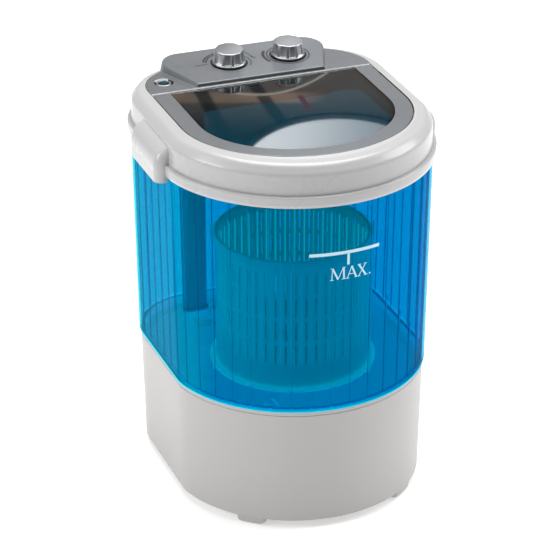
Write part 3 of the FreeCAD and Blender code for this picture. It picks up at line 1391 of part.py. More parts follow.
def make_wiring_harness():
    """Bundle of wires from the switches, down the duct, to the terminal block under the tub."""
    top = V(DUCT_X, DUCT_Y, DECK_BOTTOM - BOX_DEPTH + BOX_WALL + HARNESS_ABOVE_DUCT)
    corner = V(DUCT_X, DUCT_Y, harness_level())
    end = corner - V(0, HARNESS_RUN, 0)
    radius = HARNESS_TURN * HARNESS_RUN
    start_turn = corner + V(0, 0, radius)
    end_turn = corner - V(0, radius, 0)
    centre = corner + V(0, -radius, radius)
    middle = centre + V(0, 1, -1) * (radius / math.sqrt(2))
    path = Part.Wire(
        [
            Part.makeLine(top, start_turn),
            Part.Arc(start_turn, middle, end_turn).toShape(),
            Part.makeLine(end_turn, end),
        ]
    )
    section = Part.Wire(Part.Circle(top, V(0, 0, -1), HARNESS_RADIUS).toShape())
    tube_solid = path.makePipeShell([section], True, False)
    expected = math.pi * HARNESS_RADIUS**2 * path.Length
    print(f"harness length {path.Length:.1f}, bend radius {radius:.1f},", end=" ")
    print(f"volume {tube_solid.Volume:.1f} for {expected:.1f}")
    return tube_solid


def make_terminal_block():
    """Block under the tub's floor where the bundle of wires ends."""
    width, depth, height = TERMINAL_BLOCK
    face = DUCT_Y - HARNESS_RUN
    high = TUB_FLOOR_BOTTOM
    body = box(DUCT_X - width / 2, DUCT_X + width / 2, face - depth, face, high - height, high)
    low, y = high - height, face - depth / 2
    wells = [
        rod(TERMINAL_WELL, low, low + TERMINAL_WELL_DEPTH, DUCT_X + k * TERMINAL_WELL_PITCH, y)
        for k in (-1, 0, 1)
    ]
    return body.cut(wells)


# ---------------------------------------------------------------- drive
def bearing_screw_spots():
    reach = BEARING_FLANGE_RADIUS - BEARING_SCREW_INSET
    return [
        (reach * math.cos(a), AXIS_Y + reach * math.sin(a))
        for a in (math.radians(45 + 90 * k) for k in range(4))
    ]


def grommet_spots():
    return [(sx * GROMMET_X, MOTOR_Y + sy * GROMMET_Y) for sx in (-1, 1) for sy in (-1, 1)]


def make_bearing_housing():
    """Sleeve and flange that hold the drive shaft's bushes under the tub."""
    flange_top = TUB_FLOOR_BOTTOM - GASKET
    sleeve = rod(SLEEVE_RADIUS, SLEEVE_BOTTOM, SLEEVE_TOP, 0, AXIS_Y)
    flange = rod(BEARING_FLANGE_RADIUS, flange_top - BEARING_FLANGE, flange_top, 0, AXIS_Y)
    web_low = flange_top - 2 - WEB_HEIGHT
    webs = []
    for k in range(4):
        half = WEB_THICKNESS / 2
        tip = BEARING_FLANGE_RADIUS - BEARING_SCREW_INSET
        web = box(SLEEVE_RADIUS - 2, tip, -half, half, web_low, flange_top - 2)
        slant = Part.Face(
            polygon(
                [
                    (SLEEVE_RADIUS + 2, -half - 1, web_low - 6),
                    (BEARING_FLANGE_RADIUS, -half - 1, web_low - 6),
                    (BEARING_FLANGE_RADIUS, -half - 1, flange_top - BEARING_FLANGE - 2),
                ]
            )
        ).extrude(V(0, WEB_THICKNESS + 2, 0))
        web = web.cut(slant)
        web.rotate(V(0, 0, 0), V(0, 0, 1), 90 * k)
        web.translate(V(0, AXIS_Y, 0))
        webs.append(web)
    body = joined(sleeve, flange, *webs)
    holes = [
        rod(SHAFT_RADIUS + BORE_CLEARANCE, SLEEVE_BOTTOM, SLEEVE_TOP, 0, AXIS_Y),
        rod(SLEEVE_BORE, SLEEVE_BOTTOM, SLEEVE_BOTTOM + BUSH_LENGTH, 0, AXIS_Y),
        rod(SLEEVE_BORE, UPPER_BUSH, SLEEVE_TOP, 0, AXIS_Y),
    ]
    holes += [
        rod(SCREW_RADIUS + SCREW_SLACK, flange_top - BEARING_FLANGE, flange_top, x, y)
        for x, y in bearing_screw_spots()
    ]
    return body.cut(holes)


def make_bearing_gasket():
    low, high = TUB_FLOOR_BOTTOM - GASKET, TUB_FLOOR_BOTTOM
    ring = tube(BEARING_FLANGE_RADIUS, SLEEVE_RADIUS + SCREW_SLACK, low, high, 0, AXIS_Y)
    holes = [rod(SCREW_RADIUS + SCREW_SLACK, low, high, x, y) for x, y in bearing_screw_spots()]
    return ring.cut(holes)


def make_bearing_screws():
    head_low = TUB_FLOOR_BOTTOM - GASKET - BEARING_FLANGE - SCREW_HEAD
    return group([screw(x, y, head_low, TUB_FLOOR_TOP - PILOT_COVER) for x, y in bearing_screw_spots()])


def make_bush(low):
    return tube(SLEEVE_BORE - TUCK, SHAFT_RADIUS + SLIP, low, low + BUSH_LENGTH, 0, AXIS_Y)


def make_shaft_seal():
    """Rubber lip seal above the upper bush."""
    high = SLEEVE_TOP - SEAL_TOP_GAP
    low = high - SEAL_HEIGHT
    wide = SHAFT_RADIUS + SEAL_RELIEF
    profile = [
        (wide, low),
        (SLEEVE_BORE - TUCK, low),
        (SLEEVE_BORE - TUCK, high),
        (SHAFT_RADIUS + SLIP, high),
        (SHAFT_RADIUS + SLIP, high - SEAL_LIP),
        (wide, high - SEAL_LIP - 1),
    ]
    return turned(profile, 0, AXIS_Y)


def make_drive_shaft():
    shaft = rod(SHAFT_RADIUS, SHAFT_BOTTOM, SHAFT_TOP, 0, AXIS_Y)
    return shaft.cut(rod(HUB_SCREW_RADIUS, SHAFT_TOP - SHAFT_TAP_DEPTH, SHAFT_TOP, 0, AXIS_Y))


def pulley_profile(radius, hub_radius, bore):
    """Half section of a pulley with one vee groove, its rim, web and hub."""
    low, high = PULLEY_BOTTOM, PULLEY_TOP
    hub_low, hub_high = low - PULLEY_HUB_BELOW, high + PULLEY_HUB_ABOVE
    middle = (low + high) / 2
    groove = BELT_DEPTH + BELT_SINK + GROOVE_FLOOR_GAP
    top_half = BELT_TOP_WIDTH / 2 + GROOVE_SIDE_GAP
    bottom_half = BELT_BOTTOM_WIDTH / 2
    rim_in = radius - groove - PULLEY_RIM
    web_low, web_high = middle - PULLEY_WEB / 2, middle + PULLEY_WEB / 2
    if rim_in <= hub_radius + 2:
        inside = [(bore, high), (bore, low)]
    else:
        inside = [
            (rim_in, high),
            (rim_in, web_high),
            (hub_radius, web_high),
            (hub_radius, hub_high),
            (bore, hub_high),
            (bore, hub_low),
            (hub_radius, hub_low),
            (hub_radius, web_low),
            (rim_in, web_low),
            (rim_in, low),
        ]
    outside = [
        (radius, low),
        (radius, middle - top_half),
        (radius - groove, middle - bottom_half),
        (radius - groove, middle + bottom_half),
        (radius, middle + top_half),
        (radius, high),
    ]
    return outside + inside


def make_driven_pulley():
    hub = SHAFT_RADIUS + DRIVEN_HUB_WALL
    wheel = turned(pulley_profile(DRIVEN_RADIUS, hub, SHAFT_RADIUS + TUCK), 0, AXIS_Y)
    holes = []
    for k in range(PULLEY_HOLES):
        x, y = ring_spot(PULLEY_HOLE_RING, 2 * math.pi * k / PULLEY_HOLES)
        holes.append(rod(PULLEY_HOLE_RADIUS, PULLEY_BOTTOM, PULLEY_TOP, x, y))
    return wheel.cut(holes)


def make_pulley_nut():
    low, high = NUT_TOP - NUT_HEIGHT, NUT_TOP
    flats = 2 * SHAFT_RADIUS + NUT_FLATS_WALL
    return hexagon(flats, low, high, 0, AXIS_Y).cut(rod(SHAFT_RADIUS + TUCK, low, high, 0, AXIS_Y))


def make_motor_pulley():
    bore = MOTOR_SHAFT_RADIUS + TUCK
    hub = MOTOR_SHAFT_RADIUS + MOTOR_HUB_WALL
    return turned(pulley_profile(MOTOR_PULLEY_RADIUS, hub, bore), 0, MOTOR_Y)


def belt_loop(big_radius, small_radius, z):
    """A closed loop round both pulleys: two arcs joined by their outer tangents."""
    tilt = math.asin((big_radius - small_radius) / CENTRE_DISTANCE)

    def spots(radius, centre_y, angles):
        return [V(radius * math.cos(a), centre_y + radius * math.sin(a), z) for a in angles]

    big = spots(big_radius, AXIS_Y, (math.pi - tilt, 1.5 * math.pi, 2 * math.pi + tilt))
    small = spots(small_radius, MOTOR_Y, (tilt, math.pi / 2, math.pi - tilt))
    return Part.Wire(
        [
            Part.Arc(*big).toShape(),
            Part.makeLine(big[2], small[0]),
            Part.Arc(*small).toShape(),
            Part.makeLine(small[2], big[0]),
        ]
    )


def make_drive_belt():
    """Vee belt round both pulleys, wide outside and narrow inside."""
    middle = PULLEY_BOTTOM + PULLEY_WIDTH / 2
    half_out, half_in = BELT_TOP_WIDTH / 2, BELT_BOTTOM_WIDTH / 2
    outer = (DRIVEN_RADIUS - BELT_SINK, MOTOR_PULLEY_RADIUS - BELT_SINK)
    inner = (outer[0] - BELT_DEPTH, outer[1] - BELT_DEPTH)
    core = Part.Face(belt_loop(*outer, middle - half_out)).extrude(V(0, 0, 2 * half_out))
    hole = Part.Face(belt_loop(*inner, middle - half_out)).extrude(V(0, 0, 2 * half_out))
    flanks = [
        Part.makeLoft(
            [belt_loop(*inner, middle + side * half_in), belt_loop(*outer, middle + side * half_out)],
            True,
            True,
        )
        for side in (-1, 1)
    ]
    return core.cut([hole, *flanks])


def make_motor_can():
    """Motor body: a round can with cooling ribs and two end bells, hollow for its rotor."""
    low, high = MOTOR_BOTTOM, BRACKET_LOW
    skin = MOTOR_RADIUS - MOTOR_RIB_DEPTH
    can = rod(skin, low, high, 0, MOTOR_Y)
    ribs = []
    for k in range(MOTOR_RIBS):
        z = low + MOTOR_RIB_LOW + k * MOTOR_RIB_PITCH
        ribs.append(rod(MOTOR_RADIUS, z, z + MOTOR_RIB_WIDTH, 0, MOTOR_Y))
    nose_low = rod(MOTOR_BOSS_RADIUS, low - MOTOR_NOSE, low, 0, MOTOR_Y)
    nose_high = rod(MOTOR_BOSS_RADIUS, high, high + MOTOR_BOSS_TOP, 0, MOTOR_Y)
    body = joined(can, nose_low, nose_high, *ribs)
    hollow = rod(skin - MOTOR_SHELL, low + MOTOR_SHELL, high - MOTOR_SHELL, 0, MOTOR_Y)
    bore = rod(MOTOR_SHAFT_RADIUS + SLIP, low - MOTOR_NOSE, high, 0, MOTOR_Y)
    return body.cut([hollow, bore])


def make_motor_rotor():
    low, high = MOTOR_BOTTOM, BRACKET_LOW
    shaft = rod(MOTOR_SHAFT_RADIUS, PULLEY_BOTTOM - MOTOR_SHAFT_BELOW, high - 2, 0, MOTOR_Y)
    radius = MOTOR_RADIUS - MOTOR_RIB_DEPTH - MOTOR_SHELL - ROTOR_GAP
    end = MOTOR_SHELL + ROTOR_END_GAP
    core = rod(radius, low + end, high - end, 0, MOTOR_Y)
    return joined(shaft, core)


def make_motor_bracket():
    """Steel plate that hangs the motor from the tub's floor on rubber mounts."""
    low = BRACKET_LOW
    x, y = GROMMET_X + BRACKET_MARGIN, GROMMET_Y + BRACKET_MARGIN
    plate = box(-x, x, MOTOR_Y - y, MOTOR_Y + y, low, low + BRACKET)
    upright = [e for e in plate.Edges if abs(e.tangentAt(e.FirstParameter).z) > 0.9]
    plate = plate.makeFillet(BRACKET_ROUND, upright)
    holes = [rod(MOTOR_BOSS_RADIUS + BOSS_SLACK, low, low + BRACKET, 0, MOTOR_Y)]
    neck = GROMMET_RADIUS - GROMMET_GROOVE
    holes += [rod(neck, low, low + BRACKET, gx, gy) for gx, gy in grommet_spots()]
    return plate.cut(holes)


def make_motor_grommets():
    low = BRACKET_LOW
    mounts = []
    for x, y in grommet_spots():
        upper = rod(GROMMET_RADIUS, low + BRACKET, TUB_FLOOR_BOTTOM, x, y)
        neck = rod(GROMMET_RADIUS - GROMMET_GROOVE, low, low + BRACKET, x, y)
        lower = rod(GROMMET_RADIUS, low - GROMMET_LIP, low, x, y)
        bore = rod(SCREW_RADIUS, low - GROMMET_LIP, TUB_FLOOR_BOTTOM, x, y)
        mounts.append(joined(upper, neck, lower).cut(bore))
    return group(mounts)


def make_motor_screws():
    low = BRACKET_LOW - GROMMET_LIP - SCREW_HEAD
    tip, head = TUB_FLOOR_TOP - PILOT_COVER, MOTOR_SCREW_HEAD_RADIUS
    return group([screw(x, y, low, tip, head) for x, y in grommet_spots()])


def make_capacitor():
    """Motor capacitor standing on the base plate, with two spade terminals."""
    x, y = CAPACITOR
    low = BASE_BOTTOM + PLATE
    high = low + CAPACITOR_HEIGHT
    can = rod(CAPACITOR_RADIUS, low, high, x, y)
    rim = [e for e in can.Edges if e.BoundBox.ZMin > high - 0.01]
    can = can.makeFillet(CAPACITOR_EDGE, rim)
    half = SPADE_THICKNESS / 2
    low, tip = high - SOLID_BITE, high + SPADE_LENGTH
    for middle in (x - SPADE_SPREAD, x + SPADE_SPREAD):
        spade = box(middle - half, middle + half, y - SPADE_HALF, y + SPADE_HALF, low, tip)
        can = joined(can, spade)
    return can


def make_capacitor_clamp():
    x, y = CAPACITOR
    low = BASE_BOTTOM + PLATE
    ring_low = low + CLAMP_LOW
    high = ring_low + CLAMP_HEIGHT
    ring = tube(CAPACITOR_RADIUS + CLAMP_WALL, CAPACITOR_RADIUS + SLIP, ring_low, high, x, y)
    half = CLAMP_EAR / 2
    out = x + CAPACITOR_RADIUS + CLAMP_REACH
    ear = box(x + CAPACITOR_RADIUS + 1, out, y - half, y + half, ring_low, high)
    leg = box(out - CLAMP_LEG, out, y - CLAMP_LEG_HALF, y + CLAMP_LEG_HALF, low, high)
    return joined(ring, ear, leg)


# ---------------------------------------------------------------- pulsator and basket
def make_pulsator():
    """Round paddle wheel on the tub floor, with a six-sided hub that also drives the basket."""
    low = TUB_FLOOR_TOP + PULSATOR_LIFT
    disc_top = low + PULSATOR_DISC
    dish = turned(
        [
            (0, low),
            (PULSATOR_RADIUS - PULSATOR_EDGE_INSET, low),
            (PULSATOR_RADIUS, low + PULSATOR_BEVEL),
            (PULSATOR_RADIUS, disc_top - PULSATOR_LIP),
            (PULSATOR_RADIUS - PULSATOR_LIP_WIDTH, disc_top),
            (PULSATOR_CONE_FOOT, disc_top - PULSATOR_DISH),
            (PULSATOR_CONE_TOP, disc_top + PULSATOR_CONE_RISE),
            (0, disc_top + PULSATOR_CONE_RISE),
        ],
        0,
        AXIS_Y,
    )
    hub = hexagon(HUB_FLATS, low, HUB_TOP, 0, AXIS_Y)
    fins = []
    for k in range(PULSATOR_FINS):
        fin = fin_solid(disc_top - FIN_BITE, disc_top + PULSATOR_FIN_HEIGHT)
        fin.rotate(V(0, 0, 0), V(0, 0, 1), 360.0 / PULSATOR_FINS * k + PULSATOR_FIN_TURN)
        fin.translate(V(0, AXIS_Y, 0))
        fins.append(fin)
    wheel = joined(dish, hub, *fins)
    holes = [
        rod(SHAFT_RADIUS + TUCK, low, SHAFT_TOP, 0, AXIS_Y),
        rod(HUB_SCREW_RADIUS + HUB_SCREW_SLACK, SHAFT_TOP, HUB_TOP, 0, AXIS_Y),
        rod(HUB_SCREW_HEAD + HUB_SCREW_HEAD_GAP, HUB_TOP - HUB_SCREW_RECESS, HUB_TOP, 0, AXIS_Y),
    ]
    for inset, count in WATER_HOLE_RINGS:
        for k in range(count):
            angle = 2 * math.pi * (k + 0.5) / count + WATER_HOLE_TURN
            x, y = ring_spot(PULSATOR_RADIUS - inset, angle)
            holes.append(rod(WATER_HOLE, low, disc_top + 1, x, y))
    return wheel.cut(holes)


def fin_solid(low, high):
    """One curved-topped paddle, lying along +X from the hub to the edge of the wheel."""
    start, end = FIN_START, PULSATOR_RADIUS - PULSATOR_EDGE_INSET
    wide, narrow = FIN_FOOT / 2, FIN_CREST / 2
    foot = polygon([(start, -wide, low), (end, -wide, low), (end, wide, low), (start, wide, low)])
    crest_end, crest_low = end - FIN_SLOPE, high - FIN_DROP
    crest = polygon(
        [
            (start, -narrow, high),
            (crest_end, -narrow, crest_low),
            (crest_end, narrow, crest_low),
            (start, narrow, high),
        ]
    )
    return Part.makeLoft([foot, crest], True, True)


def make_pulsator_screw():
    head_low = HUB_TOP - HUB_SCREW_RECESS
    top = head_low + HUB_SCREW_HEAD_HEIGHT
    head = rod(HUB_SCREW_HEAD, head_low, top, 0, AXIS_Y)
    shank = rod(HUB_SCREW_RADIUS - TUCK, SHAFT_TOP - HUB_SCREW_DEPTH, head_low, 0, AXIS_Y)
    long, short = HUB_SCREW_CROSS / 2, HUB_SCREW_CROSS_WIDTH / 2
    low = top - HUB_SCREW_CROSS_DEPTH
    cross = [
        box(-dx, dx, AXIS_Y - dy, AXIS_Y + dy, low, top) for dx, dy in ((long, short), (short, long))
    ]
    return head.fuse(shank).cut(cross)


def make_spin_basket():
    """Slotted basket that stands over the pulsator: wall, foot flange, raised floor and drive socket."""
    inner = BASKET_RADIUS - BASKET_WALL
    rim_low = BASKET_TOP - BASKET_RIM_HEIGHT
    wall_top = rim_low + BASKET_WALL_IN_RIM
    wall = tube(BASKET_RADIUS, inner, BASKET_BOTTOM, wall_top, 0, AXIS_Y)
    flange = turned(
        [
            (inner, BASKET_BOTTOM),
            (BASKET_FLANGE_RADIUS, BASKET_BOTTOM),
            (BASKET_FLANGE_RADIUS, BASKET_BOTTOM + FLANGE_LIP),
            (BASKET_FLANGE_RADIUS - FLANGE_LIP_WIDTH, BASKET_BOTTOM + FLANGE_LIP),
            (BASKET_RADIUS + FLANGE_ROOT, BASKET_BOTTOM + FLANGE_THICKNESS),
            (BASKET_RADIUS, BASKET_BOTTOM + FLANGE_ROOT_HEIGHT),
            (inner, BASKET_BOTTOM + FLANGE_ROOT_HEIGHT),
        ],
        0,
        AXIS_Y,
    )
    floor_top = BASKET_FLOOR + BASKET_FLOOR_THICKNESS
    floor = rod(inner + FLOOR_BITE, BASKET_FLOOR, floor_top, 0, AXIS_Y)
    room = HUB_TOP + FIT_GAP
    boss_radius = HUB_FLATS / 2 + BASKET_BOSS_WALL
    boss = rod(boss_radius, BASKET_FLOOR - BOSS_BELOW, room + BOSS_TOP_WALL, 0, AXIS_Y)
    basket = joined(wall, flange, floor, boss)
    holes = [
        hexagon(HUB_FLATS + 2 * FIT_GAP, BASKET_FLOOR - BOSS_BELOW, room, 0, AXIS_Y),
    ]
    slot_bottom = floor_top + SLOT_MARGIN
    usable = rim_low - SLOT_MARGIN - slot_bottom
    length = (usable - SLOT_GAP * (SLOT_ROWS - 1)) / SLOT_ROWS
    for row in range(SLOT_ROWS):
        low = slot_bottom + row * (length + SLOT_GAP)
        for k in range(SLOT_COLUMNS):
            slot = box(inner - 3, BASKET_RADIUS + 3, -SLOT_WIDTH / 2, SLOT_WIDTH / 2, low, low + length)
            slot.rotate(V(0, 0, 0), V(0, 0, 1), 360.0 * (k + 0.5) / SLOT_COLUMNS)
            slot.translate(V(0, AXIS_Y, 0))
            holes.append(slot)
    for inset, count in FLOOR_HOLE_RINGS:
        for k in range(count):
            x, y = ring_spot(BASKET_RADIUS - inset, 2 * math.pi * k / count)
            holes.append(rod(FLOOR_HOLE, BASKET_FLOOR, floor_top, x, y))
    notch_in, notch_out = BASKET_FLANGE_RADIUS - NOTCH_DEPTH, BASKET_FLANGE_RADIUS + 1
    notch_top, half = BASKET_BOTTOM + FLANGE_LIP + 0.6, NOTCH_WIDTH / 2
    for k in range(NOTCHES):
        notch = box(notch_in, notch_out, -half, half, BASKET_BOTTOM, notch_top)
        notch.rotate(V(0, 0, 0), V(0, 0, 1), 360.0 / NOTCHES * k + NOTCH_TURN)
        notch.translate(V(0, AXIS_Y, 0))
        holes.append(notch)
    return basket.cut(holes)


def make_basket_rim():
    """Smooth ring clipped over the top of the basket's wall."""
    inner = BASKET_RADIUS - BASKET_WALL
    low = BASKET_TOP - BASKET_RIM_HEIGHT
    outer, lip = BASKET_RADIUS + RIM_OUT, inner - RIM_IN
    step = low + BASKET_WALL_IN_RIM + RIM_SLACK
    profile = [
        (lip, step),
        (BASKET_RADIUS + RIM_SLACK, step),
        (BASKET_RADIUS + RIM_SLACK, low),
        (outer, low),
        (outer, BASKET_TOP - RIM_EDGE),
        (outer - RIM_EDGE, BASKET_TOP),
        (lip + RIM_INNER_EDGE, BASKET_TOP),
        (lip, BASKET_TOP - RIM_INNER_EDGE),
    ]
    return turned(profile, 0, AXIS_Y)


# ---------------------------------------------------------------- write everything
def nodes():
    made = {
        "base_housing": make_base_housing(),
        "base_plate": make_base_plate(),
        "foot_screws": make_foot_screws(),
        "base_plate_screws": make_base_plate_screws(),
        "outer_tub": make_outer_tub(),
        "tub_screws": make_tub_screws(),
        "top_frame": make_top_frame(),
        "lid_buffers": make_lid_buffers(),
        "lid_frame": make_lid_frame(),
        "lid_window": make_lid_window(),
        "hinge_pin_left": hinge_pin(-1),
        "hinge_pin_right": hinge_pin(1),
        "control_panel": make_control_panel(),
        "panel_screws": make_panel_screws(),
        "control_box": make_control_box(),
        "selector_bezel": make_bezel(SELECTOR_X),
        "timer_bezel": make_bezel(TIMER_X),
        "selector_knob": make_knob(SELECTOR_X, SELECTOR_TURN),
        "timer_knob": make_knob(TIMER_X, TIMER_TURN),
        "selector_stem": make_stem(SELECTOR_X, 0.0),
        "timer_stem": make_stem(TIMER_X, 0.0),
        "selector_switch": make_switch(SELECTOR_X, False),
        "wash_timer": make_switch(TIMER_X, True),
        "inlet_socket": make_inlet_socket(),
        "inlet_tube": make_inlet_tube(),
        "drain_grille": make_drain_grille(),
        "drain_sump": make_drain_sump(),
        "outlet_spigot": make_outlet_spigot(),
        "cord_gland": make_cord_gland(),
        "cable_duct": make_cable_duct(),
        "wiring_harness": make_wiring_harness(),
        "terminal_block": make_terminal_block(),
        "bearing_housing": make_bearing_housing(),
        "bearing_gasket": make_bearing_gasket(),
        "bearing_screws": make_bearing_screws(),
        "bush_lower": make_bush(SLEEVE_BOTTOM),
        "bush_upper": make_bush(UPPER_BUSH),
        "shaft_seal": make_shaft_seal(),
        "drive_shaft": make_drive_shaft(),
        "driven_pulley": make_driven_pulley(),
        "pulley_nut": make_pulley_nut(),
        "drive_belt": make_drive_belt(),
        "motor_pulley": make_motor_pulley(),
        "motor_can": make_motor_can(),
        "motor_rotor": make_motor_rotor(),
        "motor_bracket": make_motor_bracket(),
        "motor_grommets": make_motor_grommets(),
        "motor_screws": make_motor_screws(),
        "capacitor": make_capacitor(),
        "capacitor_clamp": make_capacitor_clamp(),
        "pulsator": make_pulsator(),
        "pulsator_screw": make_pulsator_screw(),
        "spin_basket": make_spin_basket(),
        "basket_rim": make_basket_rim(),
    }
    for name, (x, y) in foot_spots().items():
        made[name] = make_foot(x, y)
    return made


def main():
    os.makedirs(OUT, exist_ok=True)
    for name, shape in nodes().items():
        shape.exportStep(os.path.join(OUT, name + ".step"))
        whole = shape.isValid()
        print(f"{name:20s} solids {len(shape.Solids):2d} valid {whole} volume {shape.Volume:12.1f}")


main()
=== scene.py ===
"""A small top-load washing machine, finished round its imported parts, laid out as an add-on."""

import json
import math

import bmesh
import bpy
from mathutils import Matrix, Vector


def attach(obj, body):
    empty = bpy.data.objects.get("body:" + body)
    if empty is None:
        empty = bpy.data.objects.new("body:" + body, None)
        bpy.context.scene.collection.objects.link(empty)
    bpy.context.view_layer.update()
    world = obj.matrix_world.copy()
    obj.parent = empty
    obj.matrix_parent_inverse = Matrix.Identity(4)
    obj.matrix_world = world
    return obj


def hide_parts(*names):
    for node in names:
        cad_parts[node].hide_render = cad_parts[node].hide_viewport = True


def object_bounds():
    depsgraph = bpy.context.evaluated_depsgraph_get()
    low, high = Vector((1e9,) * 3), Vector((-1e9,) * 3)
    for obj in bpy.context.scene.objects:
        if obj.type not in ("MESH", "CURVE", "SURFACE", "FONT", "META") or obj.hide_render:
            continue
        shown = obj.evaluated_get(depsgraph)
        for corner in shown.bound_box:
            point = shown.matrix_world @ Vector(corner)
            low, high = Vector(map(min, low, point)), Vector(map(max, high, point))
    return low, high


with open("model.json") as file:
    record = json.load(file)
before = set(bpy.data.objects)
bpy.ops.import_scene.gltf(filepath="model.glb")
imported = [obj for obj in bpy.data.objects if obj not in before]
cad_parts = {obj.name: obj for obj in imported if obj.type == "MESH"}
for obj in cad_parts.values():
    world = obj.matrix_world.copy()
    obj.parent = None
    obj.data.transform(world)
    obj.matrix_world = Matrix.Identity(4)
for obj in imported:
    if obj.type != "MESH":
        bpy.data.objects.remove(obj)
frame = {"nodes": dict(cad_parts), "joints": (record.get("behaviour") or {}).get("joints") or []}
CAD_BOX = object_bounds()
NODES = frame["nodes"]
JOINTS = {joint["name"]: joint for joint in frame["joints"]}

bl_info = {
    "name": "Mini Washer Finisher",
    "version": (1, 0, 0),
    "blender": (4, 5, 0),
    "location": "3D View > Sidebar > Washer",
    "description": "Gives the packed washing machine its surfaces, marks, knobs and studio",
    "category": "Object",
}


# ---------------------------------------------------------------- sizes, in metres
SELECTOR_PLACE = JOINTS["selector_turn"]["pos_m"]
TIMER_PLACE = JOINTS["timer_turn"]["pos_m"]
KNOB_AXIS = JOINTS["selector_turn"]["axis"]
PANEL_TILT = math.atan2(-KNOB_AXIS[1], KNOB_AXIS[2])
WASH_X, WASH_Y = JOINTS["pulsator_spin"]["pos_m"][:2]

# Heights between which the lid's gap gets a painted shade in front of SEAM_REAR and the panel's lip
# gets a painted highlight behind it.
SEAM_LOW = 0.4632
SEAM_HIGH = 0.4700
SEAM_REAR = 0.06

# Where the tub's wall turns to the left and takes a paler tint as painted light, and the heights below
# which the feet of the tub and the basket glow with painted light. The basket glows only outside a
# distance from the wash axis.
TUB_LIT_SIDE_START = -0.128
TUB_LIT_SIDE_END = -0.150
TUB_FOOT_EDGE = 0.1606
BASKET_FOOT_EDGE = 0.157
BASKET_GLOW_START = 0.0905
GLOW_BLEND = 0.001

KNOB_SIDES = 10
KNOB_RADIUS = 0.0198
KNOB_LOW = 0.0030
KNOB_HIGH = 0.0176
KNOB_TAPER = (0.91, 0.87, 1.0)
KNOB_CORNER = 0.0013
KNOB_FRAME = 0.0007
KNOB_RECESS = 0.0009
KNOB_RECESS_SLOPE = 0.0005
KNOB_SIDE_AREA = 8e-5
KNOB_CROWN_RIM = 0.0006
KNOB_CROWN_RISE = 0.0004
KNOB_SOFTNESS = 0.00022
SKIRT_SIDES = 20
SKIRT_RADIUS = 0.0205
SKIRT_LOW = 0.0004
SKIRT_HIGH = 0.0030
SKIRT_SOFTNESS = 0.0005
SELECTOR_TURN = math.radians(66)
TIMER_TURN = math.radians(159)

# Printed rings round the knobs: inner and outer radius, then the first and last angle of an arc
# in degrees, or None for a whole ring.
PRINT_LIFT = 0.00012
SELECTOR_RINGS = (
    (0.0268, 0.0288, 105, 165),
    (0.0298, 0.0319, 108, 163),
    (0.0258, 0.0270, -35, 30),
)
TIMER_RINGS = (
    (0.0249, 0.0264, None, None),
    (0.0284, 0.0319, 143, 205),
)
# Printed lines beside the selector: both ends from its middle, then the width.
SELECTOR_LINES = (
    ((-0.0424, 0.0025), (-0.0264, 0.0030), 0.0013),
    ((0.0282, 0.0239), (0.0312, 0.0094), 0.0013),
    ((0.0312, 0.0096), (0.0327, 0.0043), 0.0020),
    ((0.0326, 0.0043), (0.0361, 0.0042), 0.0013),
)

FLUTE_COUNT = 48
FLUTE_RADIUS = 0.0009
FLUTE_FROM_AXIS = 0.0896
FLUTE_LOW = 0.186
FLUTE_HIGH = 0.304

# The fill line and its stem: x and z of both ends, then the width. The mark is cut at every
# FILL_STEP across, so that it can bend, and moves from FILL_START back onto the tub.
FILL_LINE = ((-0.041, 0.360), (0.044, 0.360), 0.0040)
FILL_STEM = ((0.0045, 0.359), (0.0045, 0.344), 0.0030)
FILL_STEP = 0.002
FILL_STEPS = range(-20, 23)
FILL_START = -0.20
FILL_LIFT = 0.00025
# Strokes of the word under the fill line: x and z of both ends, then the width, in millimetres.
LETTERS = (
    ((-15.2, 326.5), (-14.4, 341.5), 1.1),
    ((-14.4, 341.5), (-7.8, 327.0), 2.2),
    ((-7.8, 327.0), (-1.6, 341.5), 1.0),
    ((-1.2, 341.5), (-0.6, 326.5), 2.2),
    ((-17.4, 326.8), (-13.0, 326.8), 0.8),
    ((-16.8, 341.4), (-13.0, 341.4), 0.8),
    ((-3.4, 326.8), (1.6, 326.8), 0.8),
    ((-2.6, 341.4), (1.2, 341.4), 0.8),
    ((3.4, 327.0), (9.0, 341.8), 1.0),
    ((8.6, 341.8), (14.4, 327.0), 2.2),
    ((5.4, 331.8), (12.0, 331.8), 0.9),
    ((1.8, 326.8), (5.8, 326.8), 0.8),
    ((12.2, 326.8), (16.8, 326.8), 0.8),
    ((17.8, 341.2), (26.6, 327.0), 2.2),
    ((26.4, 341.2), (17.6, 327.0), 1.0),
    ((16.0, 341.4), (20.6, 341.4), 0.8),
    ((24.0, 341.4), (28.0, 341.4), 0.8),
    ((16.0, 326.8), (20.0, 326.8), 0.8),
    ((24.4, 326.8), (29.2, 326.8), 0.8),
    ((31.0, 327.4), (32.8, 327.4), 1.8),
)


# ---------------------------------------------------------------- settings
class WasherColours(bpy.types.PropertyGroup):
    """Colours of the machine's plastics."""

    casing: bpy.props.FloatVectorProperty(
        name="Base casing",
        description="Warm white of the base",
        subtype="COLOR",
        default=(0.44, 0.428, 0.416),
    )
    frame: bpy.props.FloatVectorProperty(
        name="Top frame",
        description="Cool white of the frame round the lid",
        subtype="COLOR",
        default=(0.452, 0.454, 0.452),
    )
    tub: bpy.props.FloatVectorProperty(
        name="Tub",
        description="Tint of the clear tub",
        subtype="COLOR",
        default=(0.002, 0.39, 0.62),
    )
    basket: bpy.props.FloatVectorProperty(
        name="Basket",
        description="Tint of the spin basket",
        subtype="COLOR",
        default=(0.45, 0.92, 0.84),
    )
    panel: bpy.props.FloatVectorProperty(
        name="Panel",
        description="Silver coat of the panel and the lid's band",
        subtype="COLOR",
        default=(0.152, 0.162, 0.175),
    )
    window: bpy.props.FloatVectorProperty(
        name="Window",
        description="Tint of the smoked window",
        subtype="COLOR",
        default=(0.090, 0.086, 0.086),
    )


